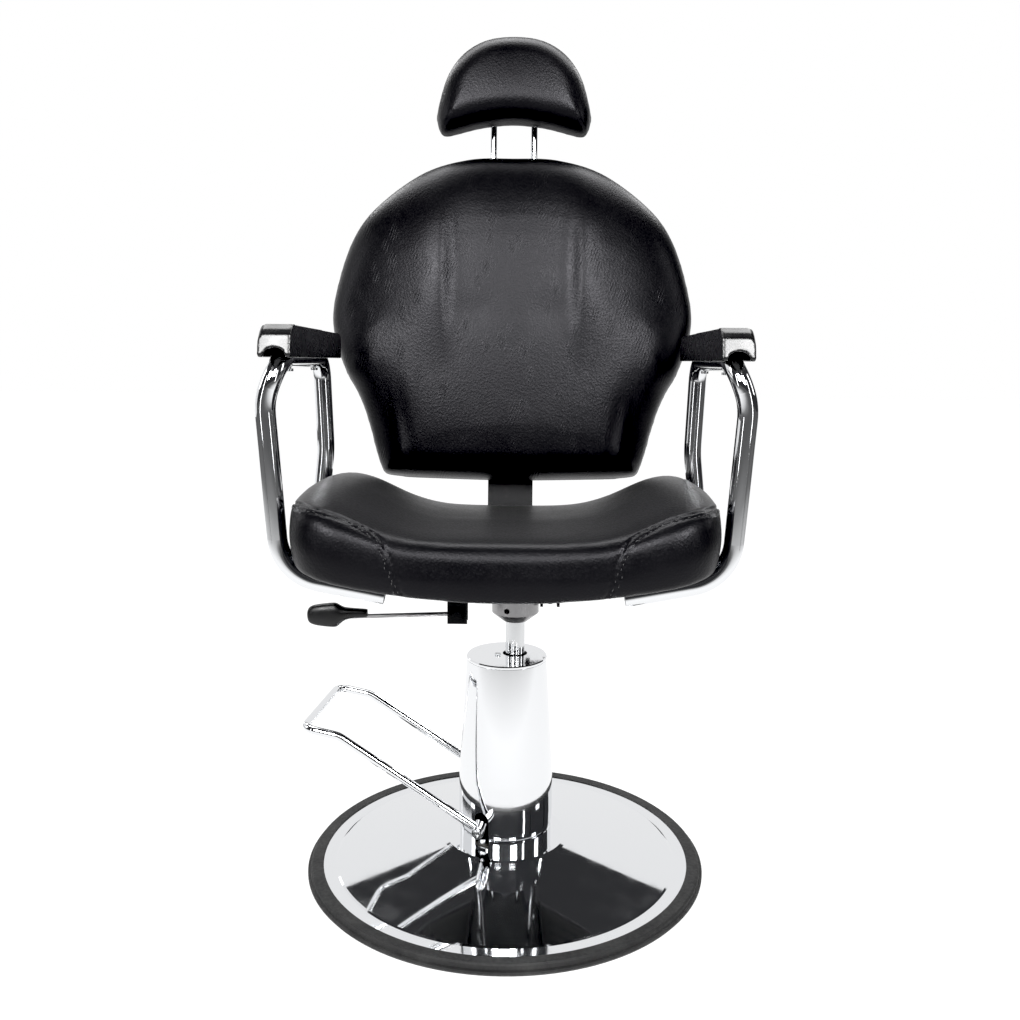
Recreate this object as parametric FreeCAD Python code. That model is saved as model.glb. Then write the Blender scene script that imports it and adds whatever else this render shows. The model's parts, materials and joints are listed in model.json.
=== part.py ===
"""Hydraulic barber chair: one STEP file per sub-part.

Frame: +Z up, origin on the floor at the centre of the round base, the sitter faces -Y.
All sizes are in millimetres. The backrest parts are drawn upright and then leaned back.
"""
import FreeCAD, Part
import math
import os

V = FreeCAD.Vector

# ---- driving dimensions -------------------------------------------------------------
BASE_R = 295.0            # outside radius of the rubber trim ring
RING_INNER_R = 272.0      # where the chrome disc comes out of the ring
RING_TOP = 16.0
RIM_TOP = 14.0            # flat chrome rim just inside the ring
RIM_INNER_R = 251.0       # crisp edge between the flat rim and the cone
DOME_SHEET = 3.0
DOME_TOP = 47.0           # top of the cone's flat hub
HUB_R = 90.0

COLLAR_R = 68.5           # chrome band round the foot of the column
COLLAR_TOP = 63.0
SHROUD_LOW_R = 70.0       # widest radius of the tapered column shroud
SHROUD_LOW_Z = 92.0
SHROUD_TOP_R = 58.5
SHROUD_TOP = 321.0
SHROUD_WALL = 1.6
CAP_TOP = 326.0

RAM_X = 12.0              # the lifting ram stands off the column's centre
RAM_Y = 6.0
RAM_R = 14.0
RAM_BOTTOM = 125.0
RAM_TOP = 430.0
CYLINDER_BOTTOM = 60.0
HEAD_BOTTOM = 306.0
HEAD_TOP = 318.0
BLOCK_TOP = 130.0
FLANGE_TOP = 52.0
FLANGE_R = 64.0
FLANGE_BOLT_R = 56.0      # radius of the bolt circle
RUNNING = 0.06            # radial clearance of a shaft in its bore

PUMP_TURN = -7.0          # degrees the pump and its pedal are turned about the column
PEDAL_X = -26.0           # pedal shaft runs along the pump's Y through the foot of the column
PEDAL_Z = 90.0
PEDAL_SHAFT_R = 6.5
PEDAL_ROD_R = 6.0
PEDAL_Y = 86.0            # half the distance between the bail's two rods
PEDAL_SLOT_HALF = 10.8
BOSS_R = 8.8
BOSS_IN = 63.0
BOSS_OUT = 97.0
PLUNGER_X = -42.0

SEAT_HALF = 263.5         # half width of the seat cushion
SEAT_FRONT = -275.0
SEAT_REAR = 190.0
SEAT_BOTTOM = 472.5       # underside on the centre line, which sags like a boat
SEAT_SAG_R = 1000.0
SEAT_CREST = 591.0        # highest point of the two side crests
BOARD = 12.0              # plywood thickness

PLATE_TOP = 471.5         # steel mechanism plate under the seat
PLATE_BOTTOM = 466.5
SOCKET_BOTTOM = 377.0

HINGE = V(0, 205, 440)    # axis of the recline hinge, along X
BACK_LEAN = 8.0           # degrees the back leans at rest
CRANK = 30.0              # from the recline hinge to the strut's pin
CRANK_REST = 20.0         # degrees behind vertical at rest
STRUT_X = 62.0
STRUT_Z = 411.8

TUBE_R = 12.5             # armrest tube
TUBE_WALL = 1.5
ARM_TOP_Z = 764.0         # centre of the tube's run under the pad
RAIL_FRONT = -222.0      # where the armrest tube's top run starts
RAIL_FALL = 2.6          # degrees it falls towards the rear
ARM_X = 271.0
FOOT_BOLT_R = 3.0

BAR_HALF = 36.5           # flat steel upright behind the back
POST_X = 33.0             # headrest posts
POST_R = 5.5
POST_Y = 24.0             # behind the hinge axis in the upright position

LEVER_Y = -30.0
LEVER_X = -70.0
LEVER_Z = 395.5
LEVER_ROD_R = 3.0


# ---- helpers ------------------------------------------------------------------------
def save(name, *solids):
    """Write one STEP file; several solids stay separate in it."""
    shape = solids[0] if len(solids) == 1 else Part.makeCompound(list(solids))
    shape.exportStep("parts/" + name + ".step")


def box(x0, x1, y0, y1, z0, z1):
    """Box between two corners."""
    return Part.makeBox(x1 - x0, y1 - y0, z1 - z0, V(x0, y0, z0))


def disc(x, y, z0, z1, radius, bore=0.0):
    """Upright disc, or a ring when it has a bore."""
    solid = Part.makeCylinder(radius, z1 - z0, V(x, y, z0))
    if bore:
        solid = solid.cut(Part.makeCylinder(bore, z1 - z0 + 2, V(x, y, z0 - 1)))
    return solid


def rod(start, end, radius):
    """Round rod from one point to another."""
    return Part.makeCylinder(radius, start.distanceToPoint(end), start, end - start)


def turned(profile, x=0.0, y=0.0):
    """Solid of revolution from (radius, height) points about a vertical axis."""
    points = [V(r, 0, z) for r, z in profile]
    face = Part.Face(Part.makePolygon(points + points[:1]))
    solid = face.revolve(V(0, 0, 0), V(0, 0, 1), 360)
    solid.translate(V(x, y, 0))
    return solid


def side_plate(profile, x0, x1):
    """Plate drawn in the YZ plane and given thickness along X."""
    points = [V(x0, y, z) for y, z in profile]
    face = Part.Face(Part.makePolygon(points + points[:1]))
    return face.extrude(V(x1 - x0, 0, 0))


def hex_bolt(x, y, top, length, thread_r, flats, head, up=True):
    """Hexagon-head bolt; top is the bearing face under the head."""
    corner_r = flats / math.sqrt(3)
    ring = [V(corner_r * math.cos(math.radians(60 * i)),
              corner_r * math.sin(math.radians(60 * i)), 0) for i in range(7)]
    sign = 1 if up else -1
    cap = Part.Face(Part.makePolygon(ring)).extrude(V(0, 0, sign * head))
    shank = Part.makeCylinder(thread_r, length, V(0, 0, 0), V(0, 0, -sign))
    bolt = cap.fuse(shank).removeSplitter()
    bolt.translate(V(x, y, top))
    return bolt


def hex_nut(x, y, z, thread_r, flats, height):
    """Hexagon nut standing on z."""
    nut = hex_bolt(x, y, z, 1.0, thread_r, flats, height)
    return nut.cut(disc(x, y, z - 2, z + height + 1, thread_r + RUNNING))


def bent_path(points, radii):
    """Wire of straight runs joined by tangent arcs, one radius per inner point."""
    edges = []
    start = points[0]
    for before, corner, after, radius in zip(points, points[1:], points[2:], radii):
        back = (before - corner).normalize()
        ahead = (after - corner).normalize()
        half = back.getAngle(ahead) / 2
        inward = (back + ahead).normalize()
        enter = corner + back * (radius / math.tan(half))
        leave = corner + ahead * (radius / math.tan(half))
        middle = corner + inward * (radius / math.sin(half) - radius)
        edges.append(Part.makeLine(start, enter))
        edges.append(Part.Arc(enter, middle, leave).toShape())
        start = leave
    edges.append(Part.makeLine(start, points[-1]))
    return Part.Wire(edges)


def bent_rod(points, radii, radius):
    """Round rod along a bent path."""
    path = bent_path(points, radii)
    circle = Part.makeCircle(radius, points[0], points[1] - points[0])
    return path.makePipeShell([Part.Wire(circle)], True, False)


def mirrored(shape):
    """The other side's copy, across the plane X = 0."""
    return shape.mirror(V(0, 0, 0), V(1, 0, 0))


def leaned(shape):
    """Turn an upright backrest part back about the recline hinge."""
    shape = shape.copy()
    shape.rotate(HINGE, V(1, 0, 0), -BACK_LEAN)
    return shape


def up_back(x, y, z):
    """Point given from the hinge in the upright position."""
    return V(x, HINGE.y + y, HINGE.z + z)


def up_box(x0, x1, y0, y1, z0, z1):
    """Box given from the hinge in the upright position."""
    return box(x0, x1, HINGE.y + y0, HINGE.y + y1, HINGE.z + z0, HINGE.z + z1)


def pump_turned(shape):
    """Turn a part drawn square to the axes into line with the pump."""
    shape = shape.copy()
    shape.rotate(V(0, 0, 0), V(0, 0, 1), PUMP_TURN)
    return shape


def outline_solid(half, y0, y1, closing):
    """Pad from the right half of its outline, mirrored, between two depths.

    half runs from the top centre down to the bottom centre; closing is the index where
    the smooth curve ends and the bottom edge begins.
    """
    right = [up_back(x, y0, z) for x, z in half[:closing]]
    left = [up_back(-x, y0, z) for x, z in reversed(half[1:closing])]
    crown = Part.BSplineCurve()
    crown.interpolate(left + right)
    bottom = Part.Arc(right[-1], up_back(0, y0, half[-1][1]), left[0]).toShape()
    face = Part.Face(Part.Wire([crown.toShape(), bottom]))
    return face.extrude(V(0, y1 - y0, 0))


# ---- base and column ----------------------------------------------------------------
def flange_bolt_places():
    """Four bolts on the pump's flange, the first just inside the pedal's front slot."""
    turns = [math.radians(235 + 90 * i) for i in range(4)]
    return [(FLANGE_BOLT_R * math.cos(a), FLANGE_BOLT_R * math.sin(a)) for a in turns]


def slot_cutter():
    """Arch-topped slot, front and rear, that the pedal's bosses come out through."""
    arch_z = PEDAL_Z + 4
    tall = box(PEDAL_X - PEDAL_SLOT_HALF, PEDAL_X + PEDAL_SLOT_HALF, -90, 90,
               DOME_TOP + 3, arch_z)
    arch = rod(V(PEDAL_X, -90, arch_z), V(PEDAL_X, 90, arch_z), PEDAL_SLOT_HALF)
    return pump_turned(tall.fuse(arch))


def make_base():
    """Chrome pressed disc, rubber trim ring and the hub plate under the disc."""
    drop = DOME_SHEET
    dome = turned([(284, RIM_TOP), (RIM_INNER_R + 3, RIM_TOP), (RIM_INNER_R, RIM_TOP + 1.5),
                   (HUB_R + 6, DOME_TOP - 1.5), (HUB_R, DOME_TOP), (20, DOME_TOP),
                   (20, DOME_TOP - drop), (HUB_R - 0.5, DOME_TOP - drop),
                   (HUB_R + 5.4, DOME_TOP - 1.5 - drop), (RIM_INNER_R - 0.6, RIM_TOP + 1.5 - drop),
                   (RIM_INNER_R + 2.6, RIM_TOP - drop), (284, RIM_TOP - drop)])
    ring = turned([(RING_INNER_R, 0), (BASE_R - 4, 0), (BASE_R, 5), (BASE_R, 8), (BASE_R - 3.5, 9),
                   (BASE_R - 4.5, RING_TOP - 2), (BASE_R - 7, RING_TOP),
                   (RING_INNER_R + 1.5, RING_TOP), (RING_INNER_R, RING_TOP - 1),
                   (RING_INNER_R, RIM_TOP), (284.3, RIM_TOP), (284.3, RIM_TOP - drop),
                   (RING_INNER_R, RIM_TOP - drop)])
    plate = disc(0, 0, DOME_TOP - drop - 6, DOME_TOP - drop, 70, 20)
    bolts, washers, nuts = [], [], []
    for x, y in flange_bolt_places():
        hole = disc(x, y, 20, 60, 4.2)
        dome, plate = dome.cut(hole), plate.cut(hole)
        washers.append(disc(x, y, FLANGE_TOP, FLANGE_TOP + 1.6, 7.0, 4.2))
        bolts.append(hex_bolt(x, y, FLANGE_TOP + 1.6, 30, 4.0, 13.0, 5.3))
        nuts.append(hex_nut(x, y, DOME_TOP - drop - 6 - 6.5, 4.0, 13.0, 6.5))
    save("base_dome", dome)
    save("base_trim_ring", ring)
    save("base_hub_plate", plate)
    save("flange_bolts", *bolts)
    save("flange_washers", *washers)
    save("flange_nuts", *nuts)


def make_pump():
    """Cast pump block, oil reservoir, lift cylinder and the head that guides the ram."""
    low, high = PEDAL_Z - 18, PEDAL_Z + 18
    block = disc(0, 0, DOME_TOP, BLOCK_TOP, 42).fuse(box(-54, -18, -28, 28, low, high))
    block = block.cut(rod(V(PEDAL_X, -60, PEDAL_Z), V(PEDAL_X, 60, PEDAL_Z),
                          PEDAL_SHAFT_R + RUNNING))
    block = block.cut(box(-60, -12, -13, 13, low + 2, high))
    block = block.cut(disc(PLUNGER_X, 0, FLANGE_TOP, PEDAL_Z, 6 + RUNNING))
    block = pump_turned(block).fuse(disc(0, 0, DOME_TOP, FLANGE_TOP, FLANGE_R))
    for x, y in flange_bolt_places():
        block = block.cut(disc(x, y, 40, FLANGE_TOP + 10, 4.2))
        block = block.cut(disc(x, y, FLANGE_TOP, FLANGE_TOP + 14, 9))
    block = block.cut(disc(RAM_X, RAM_Y, CYLINDER_BOTTOM, BLOCK_TOP + 1, 19.2))
    save("pump_block", block)
    save("pump_reservoir", disc(0, 0, BLOCK_TOP, HEAD_BOTTOM, 40, 37.5))
    cylinder = disc(RAM_X, RAM_Y, CYLINDER_BOTTOM, HEAD_BOTTOM, 19)
    cylinder = cylinder.cut(disc(RAM_X, RAM_Y, CYLINDER_BOTTOM + 6, HEAD_BOTTOM + 1, 15))
    save("lift_cylinder", cylinder)
    head = disc(0, 0, HEAD_BOTTOM, HEAD_TOP, 40)
    head = head.cut(disc(RAM_X, RAM_Y, HEAD_BOTTOM - 1, HEAD_TOP + 1, RAM_R + RUNNING))
    head = head.cut(disc(-13, -3, HEAD_BOTTOM + 2, HEAD_TOP + 1, 2.6))
    save("pump_head", head)
    save("ram_wiper_seal", disc(RAM_X, RAM_Y, HEAD_TOP, HEAD_TOP + 5, 17.5, RAM_R + RUNNING))
    plunger = disc(PLUNGER_X, 0, FLANGE_TOP + 11, PEDAL_Z - 5.6, 6)
    save("pump_plunger", pump_turned(plunger))


def make_column():
    """Collar band, tapered chrome shroud and its cap with the off-centre ram hole."""
    slot = slot_cutter()
    collar = disc(0, 0, DOME_TOP, COLLAR_TOP, COLLAR_R, COLLAR_R - 2.5).cut(slot)
    wall = SHROUD_WALL
    outer = [(SHROUD_LOW_R - 4, COLLAR_TOP + 0.5), (SHROUD_LOW_R - 2, COLLAR_TOP + 3),
             (SHROUD_LOW_R - 0.5, COLLAR_TOP + 12), (SHROUD_LOW_R, SHROUD_LOW_Z),
             (SHROUD_LOW_R - 0.6, 145), (SHROUD_TOP_R, SHROUD_TOP)]
    inner = [(r - wall, z) for r, z in reversed(outer)]
    shroud = turned(outer + inner).cut(slot)
    cap = turned([(0, SHROUD_TOP + 0.2), (SHROUD_TOP_R, SHROUD_TOP + 0.2),
                  (SHROUD_TOP_R + 0.3, SHROUD_TOP + 0.6), (SHROUD_TOP_R + 0.3, CAP_TOP - 1.5),
                  (SHROUD_TOP_R - 1.0, CAP_TOP), (0, CAP_TOP)])
    cap = cap.cut(disc(RAM_X, RAM_Y, SHROUD_TOP - 1, CAP_TOP + 1, 18))
    cap = cap.cut(disc(-13, -3, SHROUD_TOP - 1, CAP_TOP + 1, 2.6))
    screw = disc(-13, -3, CAP_TOP, CAP_TOP + 2.2, 4.5).fuse(disc(-13, -3, 310, CAP_TOP, 2.5))
    screw = screw.cut(box(-17.6, -8.4, -3.6, -2.4, CAP_TOP + 1.2, CAP_TOP + 3))
    save("collar_ring", collar)
    save("column_shroud", shroud)
    save("shroud_cap", cap)
    save("cap_screw", screw)


def make_ram():
    """Polished lifting ram and the piston on its foot."""
    ram = turned([(0, RAM_BOTTOM), (9, RAM_BOTTOM), (9, RAM_BOTTOM + 14), (RAM_R, RAM_BOTTOM + 14),
                  (RAM_R, RAM_TOP - 2), (RAM_R - 2, RAM_TOP), (0, RAM_TOP)], RAM_X, RAM_Y)
    piston = disc(RAM_X, RAM_Y, RAM_BOTTOM, RAM_BOTTOM + 14, 15 - RUNNING, 9.0)
    save("ram", ram)
    save("ram_piston", piston)
    save("thrust_washer", disc(RAM_X, RAM_Y, RAM_TOP, RAM_TOP + 3, 13.0))


def make_pedal():
    """Foot pedal: shaft, cam finger, two bosses, end screws and the bent bail."""
    y_in, y_out = BOSS_IN, BOSS_OUT
    shaft = rod(V(PEDAL_X, -88, PEDAL_Z), V(PEDAL_X, 88, PEDAL_Z), PEDAL_SHAFT_R)
    cam = rod(V(PEDAL_X, -11, PEDAL_Z), V(PEDAL_X, 11, PEDAL_Z), 9.5)
    cam = cam.fuse(box(PLUNGER_X - 4, PEDAL_X, -5, 5, PEDAL_Z - 5, PEDAL_Z + 5))
    cam = cam.cut(rod(V(PEDAL_X, -12, PEDAL_Z), V(PEDAL_X, 12, PEDAL_Z), PEDAL_SHAFT_R + 0.02))
    bosses, screws = [], []
    for side in (-1, 1):
        boss = rod(V(PEDAL_X, side * y_in, PEDAL_Z), V(PEDAL_X, side * y_out, PEDAL_Z), BOSS_R)
        boss = boss.cut(rod(V(PEDAL_X, side * (y_in - 1), PEDAL_Z),
                            V(PEDAL_X, side * 89, PEDAL_Z), PEDAL_SHAFT_R + 0.02))
        boss = boss.cut(rod(V(PEDAL_X, side * 88, PEDAL_Z),
                            V(PEDAL_X, side * (y_out + 1), PEDAL_Z), 4.1))
        bosses.append(boss)
        screw = rod(V(PEDAL_X, side * y_out, PEDAL_Z), V(PEDAL_X, side * (y_out + 6), PEDAL_Z), 6.8)
        screw = screw.fuse(rod(V(PEDAL_X, side * 89, PEDAL_Z),
                               V(PEDAL_X, side * y_out, PEDAL_Z), 4))
        socket = rod(V(PEDAL_X, side * (y_out + 2.5), PEDAL_Z),
                     V(PEDAL_X, side * (y_out + 7), PEDAL_Z), 3.2)
        screws.append(screw.cut(socket))
    bend_x, bend_z, bar_x, bar_z = -231, 219, -283, 228
    bail = bent_rod([V(PEDAL_X, -PEDAL_Y, PEDAL_Z), V(bend_x, -PEDAL_Y, bend_z),
                     V(bar_x, -PEDAL_Y, bar_z), V(bar_x, PEDAL_Y, bar_z),
                     V(bend_x, PEDAL_Y, bend_z), V(PEDAL_X, PEDAL_Y, PEDAL_Z)],
                    [32, 17, 17, 32], PEDAL_ROD_R)
    bail = bail.cut(rod(V(PEDAL_X, -y_out - 9, PEDAL_Z), V(PEDAL_X, y_out + 9, PEDAL_Z), BOSS_R))
    save("pedal_shaft", pump_turned(shaft))
    save("pedal_cam", pump_turned(cam))
    save("pedal_bosses", *[pump_turned(boss) for boss in bosses])
    save("pedal_end_screws", *[pump_turned(screw) for screw in screws])
    save("pedal_bail", pump_turned(bail))


# ---- seat ---------------------------------------------------------------------------
def sag(x, z=SEAT_BOTTOM):
    """Height of the seat's boat-shaped underside at a distance from the centre line."""
    return z + SEAT_SAG_R - math.sqrt(SEAT_SAG_R ** 2 - x * x)


def curved_slab(half, y0, y1, z, thick):
    """Slab that follows the underside's curve."""
    low = Part.Arc(V(-half, y0, sag(half, z)), V(0, y0, z), V(half, y0, sag(half, z))).toShape()
    top = Part.Arc(V(half, y0, sag(half, z) + thick), V(0, y0, z + thick),
                   V(-half, y0, sag(half, z) + thick)).toShape()
    ends = [Part.makeLine(V(half * s, y0, sag(half, z)), V(half * s, y0, sag(half, z) + thick))
            for s in (1, -1)]
    face = Part.Face(Part.Wire([low, ends[0], top, ends[1]]))
    return face.extrude(V(0, y1 - y0, 0))


def seat_section(y, dish, crest_z):
    """Outline across the seat: boat-shaped below, dished between two crests above."""
    low_x = 240
    rise = crest_z - dish
    right, left = V(low_x, y, sag(low_x)), V(-low_x, y, sag(low_x))
    over = [(SEAT_HALF, 530), (SEAT_HALF - 4, crest_z - 17), (SEAT_HALF - 19, crest_z),
            (202, dish + 0.75 * rise), (144, dish + 0.25 * rise), (90, dish + 0.06 * rise)]
    over = over + [(0, dish)] + [(-x, z) for x, z in reversed(over)]
    top = Part.BSplineCurve()
    top.interpolate([V(x, y, z) for x, z in over])
    swell = V(SEAT_HALF - 9, y, sag(low_x) + 9)
    low = [Part.Arc(V(-SEAT_HALF, y, 530), V(-swell.x, y, swell.z), left),
           Part.Arc(left, V(0, y, SEAT_BOTTOM), right),
           Part.Arc(right, swell, V(SEAT_HALF, y, 530))]
    return Part.Wire([top.toShape()] + [edge.toShape() for edge in low])


def seat_body():
    """The saddle: a front ridge, the highest crests in the middle and a deep rear dish."""
    sections = [seat_section(SEAT_FRONT - 5, 546, SEAT_CREST - 8),
                seat_section(-60, 534, SEAT_CREST),
                seat_section(SEAT_REAR + 5, 514, SEAT_CREST - 33)]
    return Part.makeLoft(sections, True, False)


def seat_plan():
    """The seat seen from above: tapering to the rear, with rounded corners."""
    widest_y = -120
    rear_half = SEAT_HALF - 13
    right = [V(SEAT_HALF + 1, SEAT_FRONT, 440), V(SEAT_HALF + 1, widest_y, 440),
             V(rear_half, SEAT_REAR, 440)]
    left = [V(-p.x, p.y, p.z) for p in reversed(right)]
    face = Part.Face(Part.makePolygon(right + left + right[:1]))
    block = face.extrude(V(0, 0, 180))
    for corner_y, radius in ((SEAT_FRONT, 75.0), (SEAT_REAR, 45.0)):
        corners = [edge for edge in block.Edges
                   if edge.BoundBox.XLength < 0.1 and edge.BoundBox.YLength < 0.1
                   and abs(edge.CenterOfMass.y - corner_y) < 0.1]
        block = block.makeFillet(radius, corners)
    return block


def seat_side():
    """The seat seen from the side: rolled front edge, top falling a little to the rear."""
    x0 = -SEAT_HALF - 5
    nose = Part.Arc(V(x0, SEAT_FRONT, 535), V(x0, SEAT_FRONT + 12, 570),
                    V(x0, SEAT_FRONT + 45, 588)).toShape()
    heel = Part.Arc(V(x0, SEAT_REAR - 25, 566), V(x0, SEAT_REAR - 7, 556),
                    V(x0, SEAT_REAR, 538)).toShape()
    corners = [V(x0, SEAT_REAR, 538), V(x0, SEAT_REAR, 440), V(x0, SEAT_FRONT, 440),
               V(x0, SEAT_FRONT, 535)]
    low = [Part.makeLine(a, b) for a, b in zip(corners, corners[1:])]
    top = Part.Arc(V(x0, SEAT_FRONT + 45, 588), V(x0, -50, SEAT_CREST + 5),
                   V(x0, SEAT_REAR - 25, 566)).toShape()
    face = Part.Face(Part.Wire([nose, top, heel] + low))
    return face.extrude(V(2 * SEAT_HALF + 10, 0, 0))


def make_seat():
    """Cushion, plywood board let into its underside, steel plate and the swivel socket."""
    cushion = seat_body().common(seat_plan()).common(seat_side())
    board_half = 226
    board = curved_slab(board_half, SEAT_FRONT + 26, SEAT_REAR - 16, SEAT_BOTTOM, BOARD)
    for spot in foot_bolt_places():
        for x in (spot.x, -spot.x):
            board = board.cut(disc(x, spot.y, 440, sag(spot.x) + BOARD - 2.9, FOOT_BOLT_R + 0.1))
    pocket = curved_slab(board_half + 0.2, SEAT_FRONT + 25.8, SEAT_REAR - 15.8,
                         SEAT_BOTTOM - 20, BOARD + 20.2)
    cushion = cushion.cut(pocket)
    plate = box(-100, 100, -110, 165, PLATE_BOTTOM, PLATE_TOP)
    for x in (-100, 94):
        plate = plate.fuse(box(x, x + 6, -110, 165, PLATE_BOTTOM - 14, PLATE_BOTTOM))
    bolts, nuts = [], []
    for x, y in [(sx * 72, sy) for sx in (-1, 1) for sy in (-85, 135)]:
        hole = disc(x, y, 400, sag(72) + BOARD + 0.1, 4.2)
        board, plate = board.cut(hole), plate.cut(hole)
        bolts.append(hex_bolt(x, y, PLATE_BOTTOM, sag(72) + BOARD - PLATE_BOTTOM - 2, 4.0, 13.0,
                              5.3, up=False))
        nuts.append(disc(x, y, PLATE_TOP + 0.1, sag(65) - 0.1, 8.0, 4.2))
    socket = turned([(RAM_R + RUNNING, SOCKET_BOTTOM), (RAM_R + 4, SOCKET_BOTTOM),
                     (34, SOCKET_BOTTOM + 13), (34, PLATE_BOTTOM), (0, PLATE_BOTTOM),
                     (0, RAM_TOP + 3.1), (RAM_R + RUNNING, RAM_TOP + 3.1)], RAM_X, RAM_Y)
    socket = socket.cut(rod(V(RAM_X - 12, -40, 398), V(RAM_X - 12, -10, 398), 4))
    save("seat_cushion", cushion)
    save("seat_board", board)
    save("mechanism_plate", plate)
    save("mechanism_bolts", *bolts)
    save("mechanism_spacers", *nuts)
    save("swivel_socket", socket)
    return cushion


# ---- armrests -----------------------------------------------------------------------
def rail_z(y):
    """Height of the tube's top run, which falls towards the rear."""
    return ARM_TOP_Z - (y - RAIL_FRONT) * math.tan(math.radians(RAIL_FALL))


def arm_points():
    """Centre line of the right armrest's tube, from the front foot to the rear foot."""
    return [V(150, -205, 469.5), V(280.5, -205, 494.5), V(291, -217, 712),
            V(ARM_X, RAIL_FRONT, ARM_TOP_Z), V(ARM_X, 45, rail_z(45)), V(267, 45, 620),
            V(282, 45, 493.5), V(150, 45, 468.5)]


def foot_bolt_places():
    """Each right-hand foot bolt as its place on the tube's centre line."""
    points = arm_points()
    places = []
    for end, corner in ((points[0], points[1]), (points[-1], points[-2])):
        run = (corner - end).normalize()
        places.extend([end + run * reach for reach in (26, 58)])
    return places


def arm_pad():
    """Moulded pad that sits down over the upper half of the tube's top run."""
    front, rear = -246.0, 96.0
    half = 19.8
    base = ARM_TOP_Z + 2
    profile = [(front, base), (front - 3, base + 16), (front + 1, base + 33),
               (front + 8, base + 39), (rear - 6, base + 35), (rear, base + 29), (rear, base)]
    pad = side_plate(profile, ARM_X - half, ARM_X + half)
    groove = rod(V(ARM_X, front - 10, ARM_TOP_Z), V(ARM_X, rear + 10, ARM_TOP_Z), TUBE_R + 1.2)
    long_edges = [edge for edge in pad.Edges
                  if edge.CenterOfMass.z > base + 25 and edge.Length > 100]
    pad = pad.makeFillet(5.0, long_edges).cut(groove)
    pad.rotate(V(0, RAIL_FRONT, ARM_TOP_Z), V(1, 0, 0), -RAIL_FALL)
    return pad


def make_arms():
    """Two bent chrome tubes with pads, pad screws, foot bolts and end plugs."""
    points = arm_points()
    radii = [60, 85, 32, 32, 200, 50]
    tube = bent_rod(points, radii, TUBE_R).cut(bent_rod(points, radii, TUBE_R - TUBE_WALL))
    pad = arm_pad()
    screws, bolts, plugs = [], [], []
    for y in (-165, -10):
        hole = disc(ARM_X, y, 730, ARM_TOP_Z + 20, 2.6)
        tube, pad = tube.cut(hole), pad.cut(hole)
        low = rail_z(y) - TUBE_R
        head = disc(ARM_X, y, low - 3.8, low - 0.6, 5)
        screws.append(head.fuse(disc(ARM_X, y, low - 1, rail_z(y) + 18, 2.4)))
    for end, corner in ((points[0], points[1]), (points[-1], points[-2])):
        run = (corner - end).normalize()
        plugs.append(rod(end + run * 1.5, end + run * 14, TUBE_R - TUBE_WALL - 0.05))
    for spot in foot_bolt_places():
        tube = tube.cut(disc(spot.x, spot.y, 430, 500, FOOT_BOLT_R + 0.2))
        tube = tube.cut(disc(spot.x, spot.y, 430, spot.z, 5.4))
        bolt = disc(spot.x, spot.y, spot.z + 3, spot.z + 7, 4.8)
        top = sag(spot.x) + BOARD - 3
        bolts.append(bolt.fuse(disc(spot.x, spot.y, spot.z + 5, top, FOOT_BOLT_R)))
    for group in (bolts, screws, plugs):
        group.extend([mirrored(solid) for solid in list(group)])
    save("arm_tube_right", tube)
    save("arm_tube_left", mirrored(tube))
    save("arm_pad_right", pad)
    save("arm_pad_left", mirrored(pad))
    save("arm_pad_screws", *screws)
    save("arm_foot_bolts", *bolts)
    save("arm_tube_plugs", *plugs)


# ---- recline mechanism --------------------------------------------------------------
def crank_pin_place():
    """Where the strut's pin sits at rest, below and behind the hinge."""
    angle = math.radians(CRANK_REST)
    return V(0, HINGE.y + CRANK * math.sin(angle), HINGE.z - CRANK * math.cos(angle))


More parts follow.
